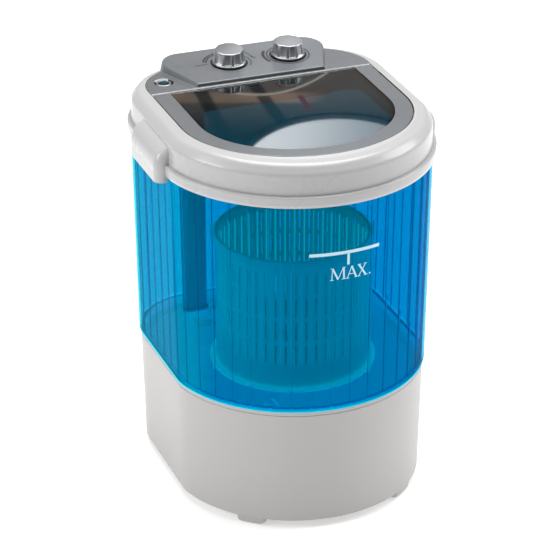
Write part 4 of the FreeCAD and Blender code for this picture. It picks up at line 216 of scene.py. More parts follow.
class WasherStudio(bpy.types.PropertyGroup):
    """Where the camera stands and how bright the lamps are."""

    azimuth: bpy.props.FloatProperty(
        name="Azimuth",
        description="Turn of the camera round the machine",
        subtype="ANGLE",
        default=math.radians(-20.88),
    )
    elevation: bpy.props.FloatProperty(
        name="Elevation",
        description="Height of the camera above the horizon",
        subtype="ANGLE",
        default=math.radians(26.21),
    )
    distance: bpy.props.FloatProperty(
        name="Distance",
        description="From the camera to its target",
        unit="LENGTH",
        default=3.276,
    )
    target: bpy.props.FloatVectorProperty(
        name="Target",
        description="The point that the camera looks at",
        subtype="XYZ",
        unit="LENGTH",
        default=(0.0024, 0.0332, 0.2279),
    )
    lens: bpy.props.FloatProperty(
        name="Lens",
        description="Focal length in millimetres on a 36 mm sensor",
        default=174.0,
    )
    key_power: bpy.props.FloatProperty(
        name="Key lamp",
        description="Power of the large lamp on the right",
        unit="POWER",
        default=44.0,
    )
    top_power: bpy.props.FloatProperty(
        name="Top lamp",
        description="Power of the wide lamp overhead",
        unit="POWER",
        default=98.0,
    )
    fill_power: bpy.props.FloatProperty(
        name="Fill lamp",
        description="Power of the lamp on the left",
        unit="POWER",
        default=36.0,
    )


# ---------------------------------------------------------------- node groups
def group_sockets(tree, inputs, outputs):
    """Adds number sockets to a node group."""
    for name, value in inputs.items():
        socket = tree.interface.new_socket(name, in_out="INPUT", socket_type="NodeSocketFloat")
        socket.default_value = value
    for name, kind in outputs.items():
        tree.interface.new_socket(name, in_out="OUTPUT", socket_type=kind)
    return tree.nodes.new("NodeGroupInput"), tree.nodes.new("NodeGroupOutput")


def maths(tree, operation, first, second=None, clamp=False):
    """A Math node; first and second are sockets or numbers."""
    node = tree.nodes.new("ShaderNodeMath")
    node.operation = operation
    node.use_clamp = clamp
    for socket, value in zip(node.inputs, (first, second)):
        if value is None:
            continue
        if isinstance(value, (int, float)):
            socket.default_value = value
        else:
            tree.links.new(value, socket)
    return node.outputs[0]


def stretched_position(tree, stretch=(1, 1, 1)):
    """The place on the piece, scaled along each axis."""
    place = tree.nodes.new("ShaderNodeTexCoord")
    mapping = tree.nodes.new("ShaderNodeMapping")
    mapping.inputs["Scale"].default_value = stretch
    tree.links.new(place.outputs["Object"], mapping.inputs["Vector"])
    return mapping.outputs["Vector"]


def noise(tree, vector, scale, detail=4.0):
    """A noise value; scale is a number or a socket."""
    node = tree.nodes.new("ShaderNodeTexNoise")
    node.inputs["Detail"].default_value = detail
    tree.links.new(vector, node.inputs["Vector"])
    if isinstance(scale, (int, float)):
        node.inputs["Scale"].default_value = scale
    else:
        tree.links.new(scale, node.inputs["Scale"])
    return node.outputs["Fac"]


def own_normal(tree, name):
    """The surface's normal in the piece's own frame, so that a pose doesn't change the finish."""
    geometry = tree.nodes.new("ShaderNodeNewGeometry")
    turned = tree.nodes.new("ShaderNodeVectorTransform")
    turned.vector_type = "NORMAL"
    turned.convert_from = "WORLD"
    turned.convert_to = "OBJECT"
    tree.links.new(geometry.outputs[name], turned.inputs[0])
    return turned.outputs[0]


def soft_step(tree, value, start, end):
    """Goes smoothly from 0 at start to 1 at end."""
    node = tree.nodes.new("ShaderNodeMapRange")
    node.interpolation_type = "SMOOTHSTEP"
    node.inputs["From Min"].default_value = start
    node.inputs["From Max"].default_value = end
    tree.links.new(value, node.inputs["Value"])
    return node.outputs["Result"]


def band(tree, value, middle, half):
    """1 at middle, falling to 0 a little outside half on both sides."""
    distance = maths(tree, "ABSOLUTE", maths(tree, "SUBTRACT", value, middle))
    return soft_step(tree, distance, half * 1.4, half * 0.7)


def from_centre(tree, across, high, x, y, squeeze=1.0):
    """Distance from a centre, with the height divided by squeeze."""
    dx = maths(tree, "POWER", maths(tree, "ABSOLUTE", maths(tree, "SUBTRACT", across, x)), 2.0)
    lifted = maths(tree, "DIVIDE", maths(tree, "SUBTRACT", high, y), squeeze)
    dy = maths(tree, "POWER", maths(tree, "ABSOLUTE", lifted), 2.0)
    return maths(tree, "SQRT", maths(tree, "ADD", dx, dy))


def build_grain_group():
    """Moulded grain: a fine height and a slow unevenness of the gloss."""
    tree = bpy.data.node_groups.new("moulded_grain", "ShaderNodeTree")
    given, result = group_sockets(
        tree,
        {"Grain Scale": 900.0, "Cloud Scale": 14.0, "Gloss": 0.3, "Gloss Change": 0.08},
        {"Height": "NodeSocketFloat", "Roughness": "NodeSocketFloat"},
    )
    place = stretched_position(tree)
    fine = noise(tree, place, given.outputs["Grain Scale"], 2.0)
    slow = noise(tree, place, given.outputs["Cloud Scale"], 5.0)
    centred = maths(tree, "SUBTRACT", slow, 0.5)
    change = maths(tree, "MULTIPLY", centred, given.outputs["Gloss Change"])
    rough = maths(tree, "ADD", given.outputs["Gloss"], change, clamp=True)
    tree.links.new(fine, result.inputs["Height"])
    tree.links.new(rough, result.inputs["Roughness"])
    return tree


def build_edge_group():
    """Edges: a rounded normal, and a mask that is bright along corners, where the colour is lightened
    as rubbed wear and as a painted highlight.
    """
    tree = bpy.data.node_groups.new("worn_and_highlit_edges", "ShaderNodeTree")
    given, result = group_sockets(
        tree, {"Radius": 0.0006}, {"Normal": "NodeSocketVector", "Edge": "NodeSocketFloat"}
    )
    bevel = tree.nodes.new("ShaderNodeBevel")
    bevel.samples = 4
    tree.links.new(given.outputs["Radius"], bevel.inputs["Radius"])
    geometry = tree.nodes.new("ShaderNodeNewGeometry")
    dot = tree.nodes.new("ShaderNodeVectorMath")
    dot.operation = "DOT_PRODUCT"
    tree.links.new(bevel.outputs["Normal"], dot.inputs[0])
    tree.links.new(geometry.outputs["Normal"], dot.inputs[1])
    away = maths(tree, "SUBTRACT", 1.0, dot.outputs["Value"])
    edge = maths(tree, "MULTIPLY", away, 6.0, clamp=True)
    tree.links.new(bevel.outputs["Normal"], result.inputs["Normal"])
    tree.links.new(edge, result.inputs["Edge"])
    return tree


def build_dust_group():
    """Dust and smears: a mask that gathers on upward faces, and faint wiping streaks."""
    tree = bpy.data.node_groups.new("dust_and_smears", "ShaderNodeTree")
    given, result = group_sockets(
        tree,
        {"Dust": 0.15, "Streaks": 0.1},
        {"Dust Mask": "NodeSocketFloat", "Streak Mask": "NodeSocketFloat"},
    )
    split = tree.nodes.new("ShaderNodeSeparateXYZ")
    tree.links.new(own_normal(tree, "Normal"), split.inputs[0])
    upward = maths(tree, "MAXIMUM", split.outputs["Z"], 0.0)
    specks = noise(tree, stretched_position(tree), 120.0, 8.0)
    patch = noise(tree, stretched_position(tree), 9.0, 3.0)
    gathered = maths(tree, "MULTIPLY", maths(tree, "MULTIPLY", specks, patch), upward)
    dust = maths(tree, "MULTIPLY", gathered, given.outputs["Dust"], clamp=True)
    wiped = noise(tree, stretched_position(tree, (40, 40, 4)), 1.0, 6.0)
    raised = maths(tree, "MULTIPLY", maths(tree, "SUBTRACT", wiped, 0.55), 4.0, clamp=True)
    streak = maths(tree, "MULTIPLY", raised, given.outputs["Streaks"], clamp=True)
    tree.links.new(dust, result.inputs["Dust Mask"])
    tree.links.new(streak, result.inputs["Streak Mask"])
    return tree


def build_gap_shade_and_lip_highlight_group():
    """Painted shade and highlight: masks for a painted shade in the gap round the lid and for a painted
    highlight along the lip of the panel's front edge.
    """
    tree = bpy.data.node_groups.new("painted_gap_shade_and_lip_highlight", "ShaderNodeTree")
    given, result = group_sockets(
        tree,
        {"Low": SEAM_LOW, "High": SEAM_HIGH},
        {"Mask": "NodeSocketFloat", "Lip": "NodeSocketFloat"},
    )
    facing = tree.nodes.new("ShaderNodeSeparateXYZ")
    tree.links.new(own_normal(tree, "True Normal"), facing.inputs[0])
    place = tree.nodes.new("ShaderNodeSeparateXYZ")
    tree.links.new(stretched_position(tree), place.inputs[0])
    upright = maths(tree, "LESS_THAN", maths(tree, "ABSOLUTE", facing.outputs["Z"]), 0.25)
    above = maths(tree, "GREATER_THAN", place.outputs["Z"], given.outputs["Low"])
    below = maths(tree, "LESS_THAN", place.outputs["Z"], given.outputs["High"])
    both = maths(tree, "MULTIPLY", maths(tree, "MULTIPLY", above, below), upright)
    front = maths(tree, "LESS_THAN", place.outputs["Y"], SEAM_REAR)
    tree.links.new(maths(tree, "MULTIPLY", both, front), result.inputs["Mask"])
    ahead = maths(tree, "LESS_THAN", facing.outputs["Y"], -0.7)
    lip = maths(tree, "MULTIPLY", both, ahead)
    lip = maths(tree, "MULTIPLY", lip, maths(tree, "SUBTRACT", 1.0, front))
    tree.links.new(lip, result.inputs["Lip"])
    return tree


GROUPS = {}
MATERIALS = {}

CLOUD_SCALE = 14.0
DUST_COLOUR = (0.55, 0.53, 0.50)
# The gap round the lid gets a painted shade. The panel's front lip gets a painted highlight, which
# glows on the silver finish.
GAP_SHADE_COLOUR = (0.008, 0.008, 0.008)
LIP_HIGHLIGHT_COLOUR = (0.80, 0.81, 0.82)
LIP_HIGHLIGHT_GLOW_COLOUR = (0.95, 0.97, 1.0)
LIP_HIGHLIGHT_GLOW = 0.4


def place_group(tree, name, **values):
    """A node group placed in a material, with its own values."""
    node = tree.nodes.new("ShaderNodeGroup")
    node.node_tree = GROUPS[name]
    for label, value in values.items():
        node.inputs[label.replace("_", " ")].default_value = value
    return node


def mixed_colour(tree, factor, first, second):
    """A colour that goes from first to second; each is a socket or a colour."""
    node = tree.nodes.new("ShaderNodeMix")
    node.data_type = "RGBA"
    tree.links.new(factor, node.inputs["Factor"])
    sockets = [s for s in node.inputs if s.type == "RGBA"]
    for socket, value in zip(sockets, (first, second)):
        if isinstance(value, bpy.types.NodeSocket):
            tree.links.new(value, socket)
        else:
            socket.default_value = (*value, 1.0)
    return [s for s in node.outputs if s.type == "RGBA"][0]


def new_material(name):
    """Makes a material, and gives its node tree and its Principled shader."""
    material = bpy.data.materials.new(name)
    material.use_nodes = True
    shader = material.node_tree.nodes["Principled BSDF"]
    MATERIALS[name] = material
    return material.node_tree, shader


def solid_material(
    name,
    colour,
    gloss=0.3,
    metallic=0.0,
    coat=0.0,
    grain=900.0,
    grain_depth=0.02,
    gloss_change=0.1,
    edge_radius=0.0005,
    edge_wear_and_highlight_colour=None,
    dust=0.12,
    mottle=0.04,
    smears=0.5,
    paint_gap_shade_and_lip=False,
):
    """An opaque finish with grain, uneven gloss, rounded edges lightened by rubbing and by a painted
    highlight, and a little dust.
    """
    tree, shader = new_material(name)
    textured = place_group(
        tree,
        "moulded_grain",
        Grain_Scale=grain,
        Cloud_Scale=CLOUD_SCALE,
        Gloss=gloss,
        Gloss_Change=gloss_change,
    )
    edges = place_group(tree, "worn_and_highlit_edges", Radius=edge_radius)
    dirt = place_group(tree, "dust_and_smears", Dust=dust, Streaks=smears)
    shade = tuple(c * (1 - mottle) for c in colour)
    clouds = noise(tree, stretched_position(tree), CLOUD_SCALE, 4.0)
    base = mixed_colour(tree, clouds, colour, shade)
    # Edges are lightened partly as rubbed wear and partly as a painted highlight. The bright edge
    # colours of the chrome knobs and the silver panel are painted highlights.
    rubbed_and_highlit = edge_wear_and_highlight_colour or tuple(min(1.0, c * 1.08 + 0.01) for c in colour)
    base = mixed_colour(tree, edges.outputs["Edge"], base, rubbed_and_highlit)
    base = mixed_colour(tree, dirt.outputs["Dust Mask"], base, DUST_COLOUR)
    if paint_gap_shade_and_lip:
        # Painted shade in the gap round the lid, and a painted highlight on the panel's front lip that
        # also glows on the silver finish.
        gap_shade_and_lip = place_group(tree, "painted_gap_shade_and_lip_highlight")
        base = mixed_colour(tree, gap_shade_and_lip.outputs["Mask"], base, GAP_SHADE_COLOUR)
        base = mixed_colour(tree, gap_shade_and_lip.outputs["Lip"], base, LIP_HIGHLIGHT_COLOUR)
        if metallic:
            shader.inputs["Emission Color"].default_value = (*LIP_HIGHLIGHT_GLOW_COLOUR, 1.0)
            painted_glow = maths(tree, "MULTIPLY", gap_shade_and_lip.outputs["Lip"], LIP_HIGHLIGHT_GLOW)
            tree.links.new(painted_glow, shader.inputs["Emission Strength"])
    tree.links.new(base, shader.inputs["Base Color"])
    rough = maths(tree, "ADD", textured.outputs["Roughness"], dirt.outputs["Dust Mask"])
    smeared = maths(tree, "MULTIPLY", dirt.outputs["Streak Mask"], 0.12)
    rough = maths(tree, "ADD", rough, smeared, clamp=True)
    tree.links.new(rough, shader.inputs["Roughness"])
    bump = tree.nodes.new("ShaderNodeBump")
    bump.inputs["Strength"].default_value = grain_depth
    bump.inputs["Distance"].default_value = 0.0005
    tree.links.new(textured.outputs["Height"], bump.inputs["Height"])
    tree.links.new(edges.outputs["Normal"], bump.inputs["Normal"])
    tree.links.new(bump.outputs["Normal"], shader.inputs["Normal"])
    shader.inputs["Metallic"].default_value = metallic
    shader.inputs["Coat Weight"].default_value = coat
    shader.inputs["Coat Roughness"].default_value = 0.12


def clear_material(
    name,
    colour,
    deep,
    gloss,
    transmission,
    ior,
    wave=0.06,
    glow=None,
    glow_strength=0.0,
    lit_edge=0.0,
    edge_glow=0.0,
    side=None,
    glow_radius=None,
):
    """A clear tinted plastic with moulding flow lines.

    It carries a little light of its own colour, more below the height lit_edge and none nearer
    the wash axis than glow_radius; side is a paler colour painted where the wall turns to the left, as
    painted light on that side.
    """
    tree, shader = new_material(name)
    textured = place_group(
        tree, "moulded_grain", Grain_Scale=500.0, Cloud_Scale=9.0, Gloss=gloss, Gloss_Change=gloss
    )
    dirt = place_group(tree, "dust_and_smears", Dust=0.06, Streaks=0.4)
    flow_lines = noise(tree, stretched_position(tree, (60, 60, 4)), 1.0, 3.0)
    tint = mixed_colour(tree, flow_lines, colour, deep)
    place = tree.nodes.new("ShaderNodeSeparateXYZ")
    tree.links.new(stretched_position(tree), place.inputs[0])
    if side is not None:
        # Painted light: the wall is tinted paler where it turns to the left, as if lit through.
        turned = soft_step(tree, place.outputs["X"], TUB_LIT_SIDE_START, TUB_LIT_SIDE_END)
        tint = mixed_colour(tree, turned, tint, side)
        shader.inputs["Specular Tint"].default_value = (0.02, 0.55, 0.85, 1.0)
    tree.links.new(tint, shader.inputs["Base Color"])
    smeared = maths(tree, "MULTIPLY", dirt.outputs["Streak Mask"], 0.02)
    rough = maths(tree, "ADD", textured.outputs["Roughness"], smeared, clamp=True)
    tree.links.new(rough, shader.inputs["Roughness"])
    if glow is not None:
        low = maths(tree, "LESS_THAN", place.outputs["Z"], lit_edge)
        painted_glow = maths(tree, "MULTIPLY", low, edge_glow)
        painted_glow = maths(tree, "ADD", painted_glow, glow_strength)
        if glow_radius is not None:
            away = from_centre(tree, place.outputs["X"], place.outputs["Y"], WASH_X, WASH_Y)
            outside = soft_step(tree, away, glow_radius, glow_radius + GLOW_BLEND)
            painted_glow = maths(tree, "MULTIPLY", painted_glow, outside)
        tree.links.new(painted_glow, shader.inputs["Emission Strength"])
        shader.inputs["Emission Color"].default_value = (*glow, 1.0)
    bump = tree.nodes.new("ShaderNodeBump")
    bump.inputs["Strength"].default_value = wave
    bump.inputs["Distance"].default_value = 0.001
    tree.links.new(flow_lines, bump.inputs["Height"])
    tree.links.new(bump.outputs["Normal"], shader.inputs["Normal"])
    shader.inputs["Transmission Weight"].default_value = transmission
    shader.inputs["IOR"].default_value = ior


def make_opaque_finishes(colours):
    """Plastics, metals, rubber, paint and the printed marks."""
    solid_material(
        "casing_white",
        tuple(colours.casing),
        gloss=0.42,
        coat=0.05,
        grain_depth=0.03,
        dust=0.03,
        mottle=0.015,
    )
    solid_material(
        "frame_white",
        tuple(colours.frame),
        gloss=0.28,
        coat=0.2,
        grain_depth=0.015,
        dust=0.03,
        mottle=0.012,
        smears=0.06,
        paint_gap_shade_and_lip=True,
    )
    solid_material(
        "panel_silver",
        tuple(colours.panel),
        gloss=0.36,
        metallic=0.35,
        coat=0.08,
        grain=2600.0,
        grain_depth=0.05,
        edge_radius=0.0008,
        edge_wear_and_highlight_colour=(0.58, 0.60, 0.62),
        paint_gap_shade_and_lip=True,
    )
    solid_material(
        "knob_chrome",
        (0.42, 0.43, 0.445),
        gloss=0.34,
        metallic=1.0,
        grain_depth=0.01,
        gloss_change=0.05,
        edge_radius=0.0012,
        edge_wear_and_highlight_colour=(0.95, 0.95, 0.97),
        dust=0.03,
    )
    solid_material("black_plastic", (0.012, 0.012, 0.013), gloss=0.45, dust=0.06)
    solid_material("grey_plastic", (0.40, 0.42, 0.44), gloss=0.5)
    solid_material("dark_rubber", (0.02, 0.02, 0.02), gloss=0.7, grain_depth=0.1)
    solid_material("pulsator_white", (0.62, 0.72, 0.76), gloss=0.3)
    solid_material("zinc_steel", (0.55, 0.56, 0.58), gloss=0.34, metallic=1.0, grain_depth=0.05)
    solid_material("turned_alloy", (0.66, 0.67, 0.68), gloss=0.3, metallic=1.0, grain_depth=0.05)
    solid_material("sintered_bronze", (0.50, 0.32, 0.14), gloss=0.45, metallic=1.0)
    solid_material("motor_enamel", (0.10, 0.11, 0.13), gloss=0.4, coat=0.1)
    solid_material("capacitor_white", (0.75, 0.75, 0.72), gloss=0.45)
    solid_material("duct_blue", (0.02, 0.34, 0.60), gloss=0.25)
    solid_material("mark_white", (0.55, 0.80, 0.92), gloss=0.5, dust=0.02, mottle=0.02)
    solid_material("mark_black", (0.01, 0.01, 0.012), gloss=0.5, dust=0.03)


def make_clear_finishes(colours):
    """The see-through tub, basket and window, and the basket's ribs."""
    tub = tuple(colours.tub)
    deep = (0.0, tub[1] * 0.94, tub[2] * 0.97)
    clear_material(
        "tub_blue",
        tub,
        deep,
        gloss=0.02,
        transmission=0.94,
        ior=1.02,
        wave=0.012,
        glow=(0.0, 0.52, 0.72),
        lit_edge=TUB_FOOT_EDGE,
        edge_glow=0.5,
        # A paler tint on the tub's left side, painted as light falling through it.
        side=(0.003, 0.53, 0.66),
    )
    basket = tuple(colours.basket)
    clear_material(
        "basket_blue",
        basket,
        tuple(c * 0.94 for c in basket),
        gloss=0.12,
        transmission=0.3,
        ior=1.3,
        wave=0.01,
        glow=(0.0, 0.74, 0.78),
        glow_strength=0.15,
        lit_edge=BASKET_FOOT_EDGE,
        edge_glow=0.22,
        glow_radius=BASKET_GLOW_START,
    )
    window = tuple(colours.window)
    clear_material(
        "window_smoke",
        window,
        tuple(c * 0.92 for c in window),
        gloss=0.02,
        transmission=0.97,
        ior=1.45,
        wave=0.0,
    )
    clear_material(
        "flute_blue",
        (0.5, 0.95, 0.95),
        (0.45, 0.9, 0.9),
        gloss=0.1,
        transmission=0.2,
        ior=1.4,
        glow=(0.0, 0.9, 0.9),
        glow_strength=0.42,
    )


def dress(material, *names):
    """Gives CAD nodes a material."""
    for name in names:
        NODES[name].material_slots[0].material = MATERIALS[material]


# ---------------------------------------------------------------- modelling helpers
def deselect():
    """Goes back to object mode with nothing selected."""
    if bpy.context.object and bpy.context.object.mode != "OBJECT":
        bpy.ops.object.mode_set(mode="OBJECT")
    bpy.ops.object.select_all(action="DESELECT")


def activate(piece):
    """Selects one piece alone and makes it the active one."""
    deselect()
    piece.select_set(True)
    bpy.context.view_layer.objects.active = piece


def copy_of(piece):
    """A copy of a piece, with a mesh of its own."""
    activate(piece)
    bpy.ops.object.duplicate(linked=False)
    return bpy.context.object


def settle(piece, name, body, material, smooth=None):
    """Puts a finished piece's place into its mesh, names it and lets it ride on its body."""
    activate(piece)
    bpy.ops.object.transform_apply(location=True, rotation=True, scale=True)
    if smooth is not None:
        bpy.ops.object.shade_smooth_by_angle(angle=math.radians(smooth))
    piece.name = name
    piece.data.name = name
    piece.data.materials.clear()
    piece.data.materials.append(MATERIALS[material])
    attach(piece, body)


def pick(kind, test):
    """In edit mode, selects the points, edges or faces that pass a test."""
    piece = bpy.context.object
    bpy.ops.object.mode_set(mode="EDIT")
    bpy.ops.mesh.select_mode(type=kind)
    bpy.ops.mesh.select_all(action="DESELECT")
    mesh = bmesh.from_edit_mesh(piece.data)
    for item in {"VERT": mesh.verts, "EDGE": mesh.edges, "FACE": mesh.faces}[kind]:
        item.select_set(bool(test(item)))
    mesh.select_flush_mode()
    bmesh.update_edit_mesh(piece.data)


def upright_edge(edge):
    """Tells an edge that runs up from one that runs round."""
    along = edge.verts[0].co - edge.verts[1].co
    return abs(along.z) > 0.8 * along.length


def soften(width):
    """Rounds the sharp edges of the active piece."""
    bpy.ops.object.mode_set(mode="OBJECT")
    piece = bpy.context.object
    modifier = piece.modifiers.new("soften", "BEVEL")
    modifier.width = width
    modifier.segments = 2
    modifier.limit_method = "ANGLE"
    modifier.angle_limit = math.radians(28)
    bpy.ops.object.modifier_apply(modifier=modifier.name)
    return piece


def cylinder(sides, radius, low, high, x=0.0):
    """An upright cylinder between two heights, with its place in its mesh."""
    deselect()
    middle = (low + high) / 2
    bpy.ops.mesh.primitive_cylinder_add(
        vertices=sides, radius=radius, depth=high - low, location=(x, 0, middle)
    )
    bpy.ops.object.transform_apply(location=True, rotation=False, scale=False)
    return bpy.context.object


def join_pieces(pieces):
    """Joins several pieces into the first one."""
    deselect()
    for piece in pieces:
        piece.select_set(True)
    bpy.context.view_layer.objects.active = pieces[0]
    bpy.ops.object.join()
    return bpy.context.object


def model_knob():
    """A ten-sided knob with a framed recess in every side, on a faceted skirt."""
    cylinder(KNOB_SIDES, KNOB_RADIUS, KNOB_LOW, KNOB_HIGH)
    pick("VERT", lambda v: v.co.z > (KNOB_LOW + KNOB_HIGH) / 2)
    bpy.ops.transform.resize(value=KNOB_TAPER, center_override=(0, 0, 0))
    pick("EDGE", upright_edge)
    bpy.ops.mesh.bevel(offset=KNOB_CORNER, segments=1, affect="EDGES")
    pick("FACE", lambda f: abs(f.normal.z) < 0.6 and f.calc_area() > KNOB_SIDE_AREA)
    bpy.ops.mesh.inset(thickness=KNOB_FRAME, use_individual=True)
    bpy.ops.mesh.inset(thickness=KNOB_RECESS_SLOPE, depth=-KNOB_RECESS, use_individual=True)
    pick("FACE", lambda f: f.normal.z > 0.9)
    bpy.ops.mesh.inset(thickness=KNOB_CROWN_RIM)
    bpy.ops.transform.translate(value=(0, 0, KNOB_CROWN_RISE))
    body = soften(KNOB_SOFTNESS)
    cylinder(SKIRT_SIDES, SKIRT_RADIUS, SKIRT_LOW, SKIRT_HIGH)
    skirt = soften(SKIRT_SOFTNESS)
    return join_pieces([body, skirt])


def on_panel(piece, place, lift=0.0, turn=0.0):
    """Moves a piece made round the Z axis to a knob's place on the sloping panel."""
    tilt = Matrix.Rotation(PANEL_TILT, 3, "X")
    piece.rotation_mode = "QUATERNION"
    piece.rotation_quaternion = (tilt @ Matrix.Rotation(turn, 3, "Z")).to_quaternion()
    piece.location = Vector(place) + Vector((0.0, 0.0, lift))


def ring_strip(inner, outer, start=None, end=None):
    """A flat ring, or the part of it between two angles in degrees."""
    deselect()
    bpy.ops.mesh.primitive_circle_add(vertices=120, radius=outer, fill_type="NGON")
    bpy.ops.object.mode_set(mode="EDIT")
    bpy.ops.mesh.select_all(action="SELECT")
    bpy.ops.mesh.inset(thickness=outer - inner)
    bpy.ops.mesh.delete(type="FACE")
    if start is not None:
        for angle, side in ((math.radians(start), 1), (math.radians(end), -1)):
            bpy.ops.mesh.select_all(action="SELECT")
            normal = (-side * math.sin(angle), side * math.cos(angle), 0)
            bpy.ops.mesh.bisect(plane_co=(0, 0, 0), plane_no=normal, clear_inner=True)
    bpy.ops.object.mode_set(mode="OBJECT")
    return bpy.context.object


def stroke(start, end, width, normal="Z"):
    """A flat strip between two points of the XY plane, or of the XZ plane for normal Y."""
    deselect()
    dx, dy = end[0] - start[0], end[1] - start[1]
    bpy.ops.mesh.primitive_plane_add(size=1.0)
    piece = bpy.context.object
    piece.scale = (math.hypot(dx, dy), width, 1.0)
    bpy.ops.object.transform_apply(location=False, rotation=False, scale=True)
    piece.rotation_euler = (0.0, 0.0, math.atan2(dy, dx))
    piece.location = ((start[0] + end[0]) / 2, (start[1] + end[1]) / 2, 0.0)
    bpy.ops.object.transform_apply(location=True, rotation=True, scale=False)
    if normal == "Y":
        piece.rotation_euler = (math.radians(90), 0.0, 0.0)
        bpy.ops.object.transform_apply(location=False, rotation=True, scale=False)
    return piece


def model_fill_mark():
    """A curved fill line with a short stem and a word below it, laid on the tub's front."""
    pieces = [stroke(*FILL_LINE, "Y"), stroke(*FILL_STEM, "Y")]
    for start, end, width in LETTERS:
        first, last = (tuple(v / 1000 for v in spot) for spot in (start, end))
        pieces.append(stroke(first, last, width / 1000, "Y"))
    mark = join_pieces(pieces)
    bpy.ops.object.mode_set(mode="EDIT")
    for k in FILL_STEPS:
        bpy.ops.mesh.select_all(action="SELECT")
        bpy.ops.mesh.bisect(plane_co=(k * FILL_STEP, 0, 0), plane_no=(1, 0, 0))
    bpy.ops.mesh.select_all(action="SELECT")
    bpy.ops.transform.translate(value=(0, FILL_START, 0))
    bpy.ops.object.mode_set(mode="OBJECT")
    wrap = mark.modifiers.new("lay", "SHRINKWRAP")
    wrap.target = NODES["outer_tub"]
    wrap.wrap_method = "PROJECT"
    wrap.use_project_y = True
    wrap.use_positive_direction = True
    wrap.use_negative_direction = False
    bpy.ops.object.modifier_apply(modifier=wrap.name)
    mark.location = (0, -FILL_LIFT, 0)
    return mark


def model_flutes():
    """Round-topped ribs up the inner wall of the basket."""
    rod = cylinder(12, FLUTE_RADIUS, FLUTE_LOW, FLUTE_HIGH, x=FLUTE_FROM_AXIS)
    deselect()
    bpy.ops.mesh.primitive_uv_sphere_add(
        segments=12, ring_count=8, radius=FLUTE_RADIUS, location=(FLUTE_FROM_AXIS, 0, FLUTE_HIGH)
    )
    first = join_pieces([rod, bpy.context.object])
    ribs = [first]
    for k in range(1, FLUTE_COUNT):
        rib = copy_of(first)
        rib.rotation_euler = (0, 0, math.radians(360 / FLUTE_COUNT * k))
        bpy.ops.object.transform_apply(location=False, rotation=True, scale=False)
        ribs.append(rib)
    flutes = join_pieces(ribs)
    flutes.location = (WASH_X, WASH_Y, 0)
    return flutes


def print_on_panel(piece, place):
    """Lays a flat piece on the panel's face, measured from a knob's middle."""
    on_panel(piece, place, lift=PRINT_LIFT)
    bpy.ops.object.transform_apply(location=True, rotation=True, scale=False)
    return piece


def model_dial_prints():
    """The thin rings, arcs and lines printed round the knobs."""
    prints = []
    for place, rings in ((SELECTOR_PLACE, SELECTOR_RINGS), (TIMER_PLACE, TIMER_RINGS)):
        for ring in rings:
            prints.append(print_on_panel(ring_strip(*ring), place))
    for line in SELECTOR_LINES:
        prints.append(print_on_panel(stroke(*line), SELECTOR_PLACE))
    return join_pieces(prints)


# ---------------------------------------------------------------- studio
KEY_LAMP_PLACE = (2.9, -0.45, 1.9)
KEY_LAMP_SIZE = 1.6
FILL_LAMP_PLACE = (-2.8, 0.1, 1.6)
FILL_LAMP_SIZE = 1.4
TOP_LAMP_PLACE = (0.3, 0.5, 3.0)
TOP_LAMP_SIZE = 2.2
SURROUNDINGS_STRENGTH = 0.30
SENSOR_WIDTH = 36.0

FLOOR_SIZE = 30.0
FLOOR_DROP = 0.0005
FLOOR_COLOUR = (0.93, 0.93, 0.93)
FLOOR_GLOW = 0.36

CARD_SIZE = (1.1, 0.62, 1.0)
CARD_PLACE = (0.480, 1.285, 1.046)
CARD_LEAN = math.radians(112.6)
CARD_TURN = math.radians(-20.88)
# Poles on the card: middle, lean and half width. Red marks: middle and height.
CARD_POLES = ((-0.118, 0.55, 0.012), (-0.012, 0.75, 0.011))
CARD_RED_MARKS = ((0.030, -0.052), (0.051, -0.012))
CARD_RED_LEAN = 0.7
# The card's shelf: height and half thickness, then where its right end fades.
CARD_SHELF_BAND = (-0.021, 0.008)
CARD_SHELF_END = (0.09, 0.02)
# The card's wire: centre, radius and half width. Its dish: centre, squeeze, rim and fade.
CARD_WIRE_CENTRE = (-0.04, -0.235)
CARD_WIRE_BAND = (0.209, 0.0016)
CARD_DISH_CENTRE = (0.10, 0.10)
CARD_DISH_SQUEEZE = 0.52
CARD_DISH_RIM = (0.181, 0.0034)
CARD_DISH_FADE = (0.165, 0.160)
CARD_DARK = (0.015, 0.02, 0.02)
CARD_ROOM = (0.42, 0.36, 0.33)
CARD_SHELF = (1.5, 1.0, 0.68)
CARD_POLE = (0.02, 0.02, 0.02)
CARD_RED = (0.55, 0.09, 0.08)
CARD_WIRE = (1.9, 1.7, 1.5)
CARD_RIM = (0.0, 0.0, 0.0)
CARD_DISH_LEFT = (4.4, 4.6, 4.7)
CARD_DISH_RIGHT = (1.5, 1.7, 1.9)


def add_floor():
    """A wide pale floor just under the feet."""
    deselect()
    bpy.ops.mesh.primitive_plane_add(size=FLOOR_SIZE, location=(0, 0, -FLOOR_DROP))
    floor = bpy.context.object
    floor.name = "floor"
    _, shader = new_material("floor_pale")
    shader.inputs["Base Color"].default_value = (*FLOOR_COLOUR, 1.0)
    shader.inputs["Roughness"].default_value = 0.9
    shader.inputs["Emission Color"].default_value = (1.0, 1.0, 1.0, 1.0)
    shader.inputs["Emission Strength"].default_value = FLOOR_GLOW
    floor.data.materials.append(MATERIALS["floor_pale"])


def add_reflection_card():
    """A dark studio card behind the machine, with the shapes that show up in the window."""
    deselect()
    bpy.ops.mesh.primitive_plane_add(size=1.0)
    card = bpy.context.object
    card.name = "reflection_card"
    card.scale = CARD_SIZE
    card.rotation_euler = (CARD_LEAN, 0.0, CARD_TURN)
    card.location = CARD_PLACE
    bpy.ops.object.transform_apply(location=False, rotation=False, scale=True)
    card.visible_camera = False
    card.visible_diffuse = False
    card.data.materials.append(reflected_studio())


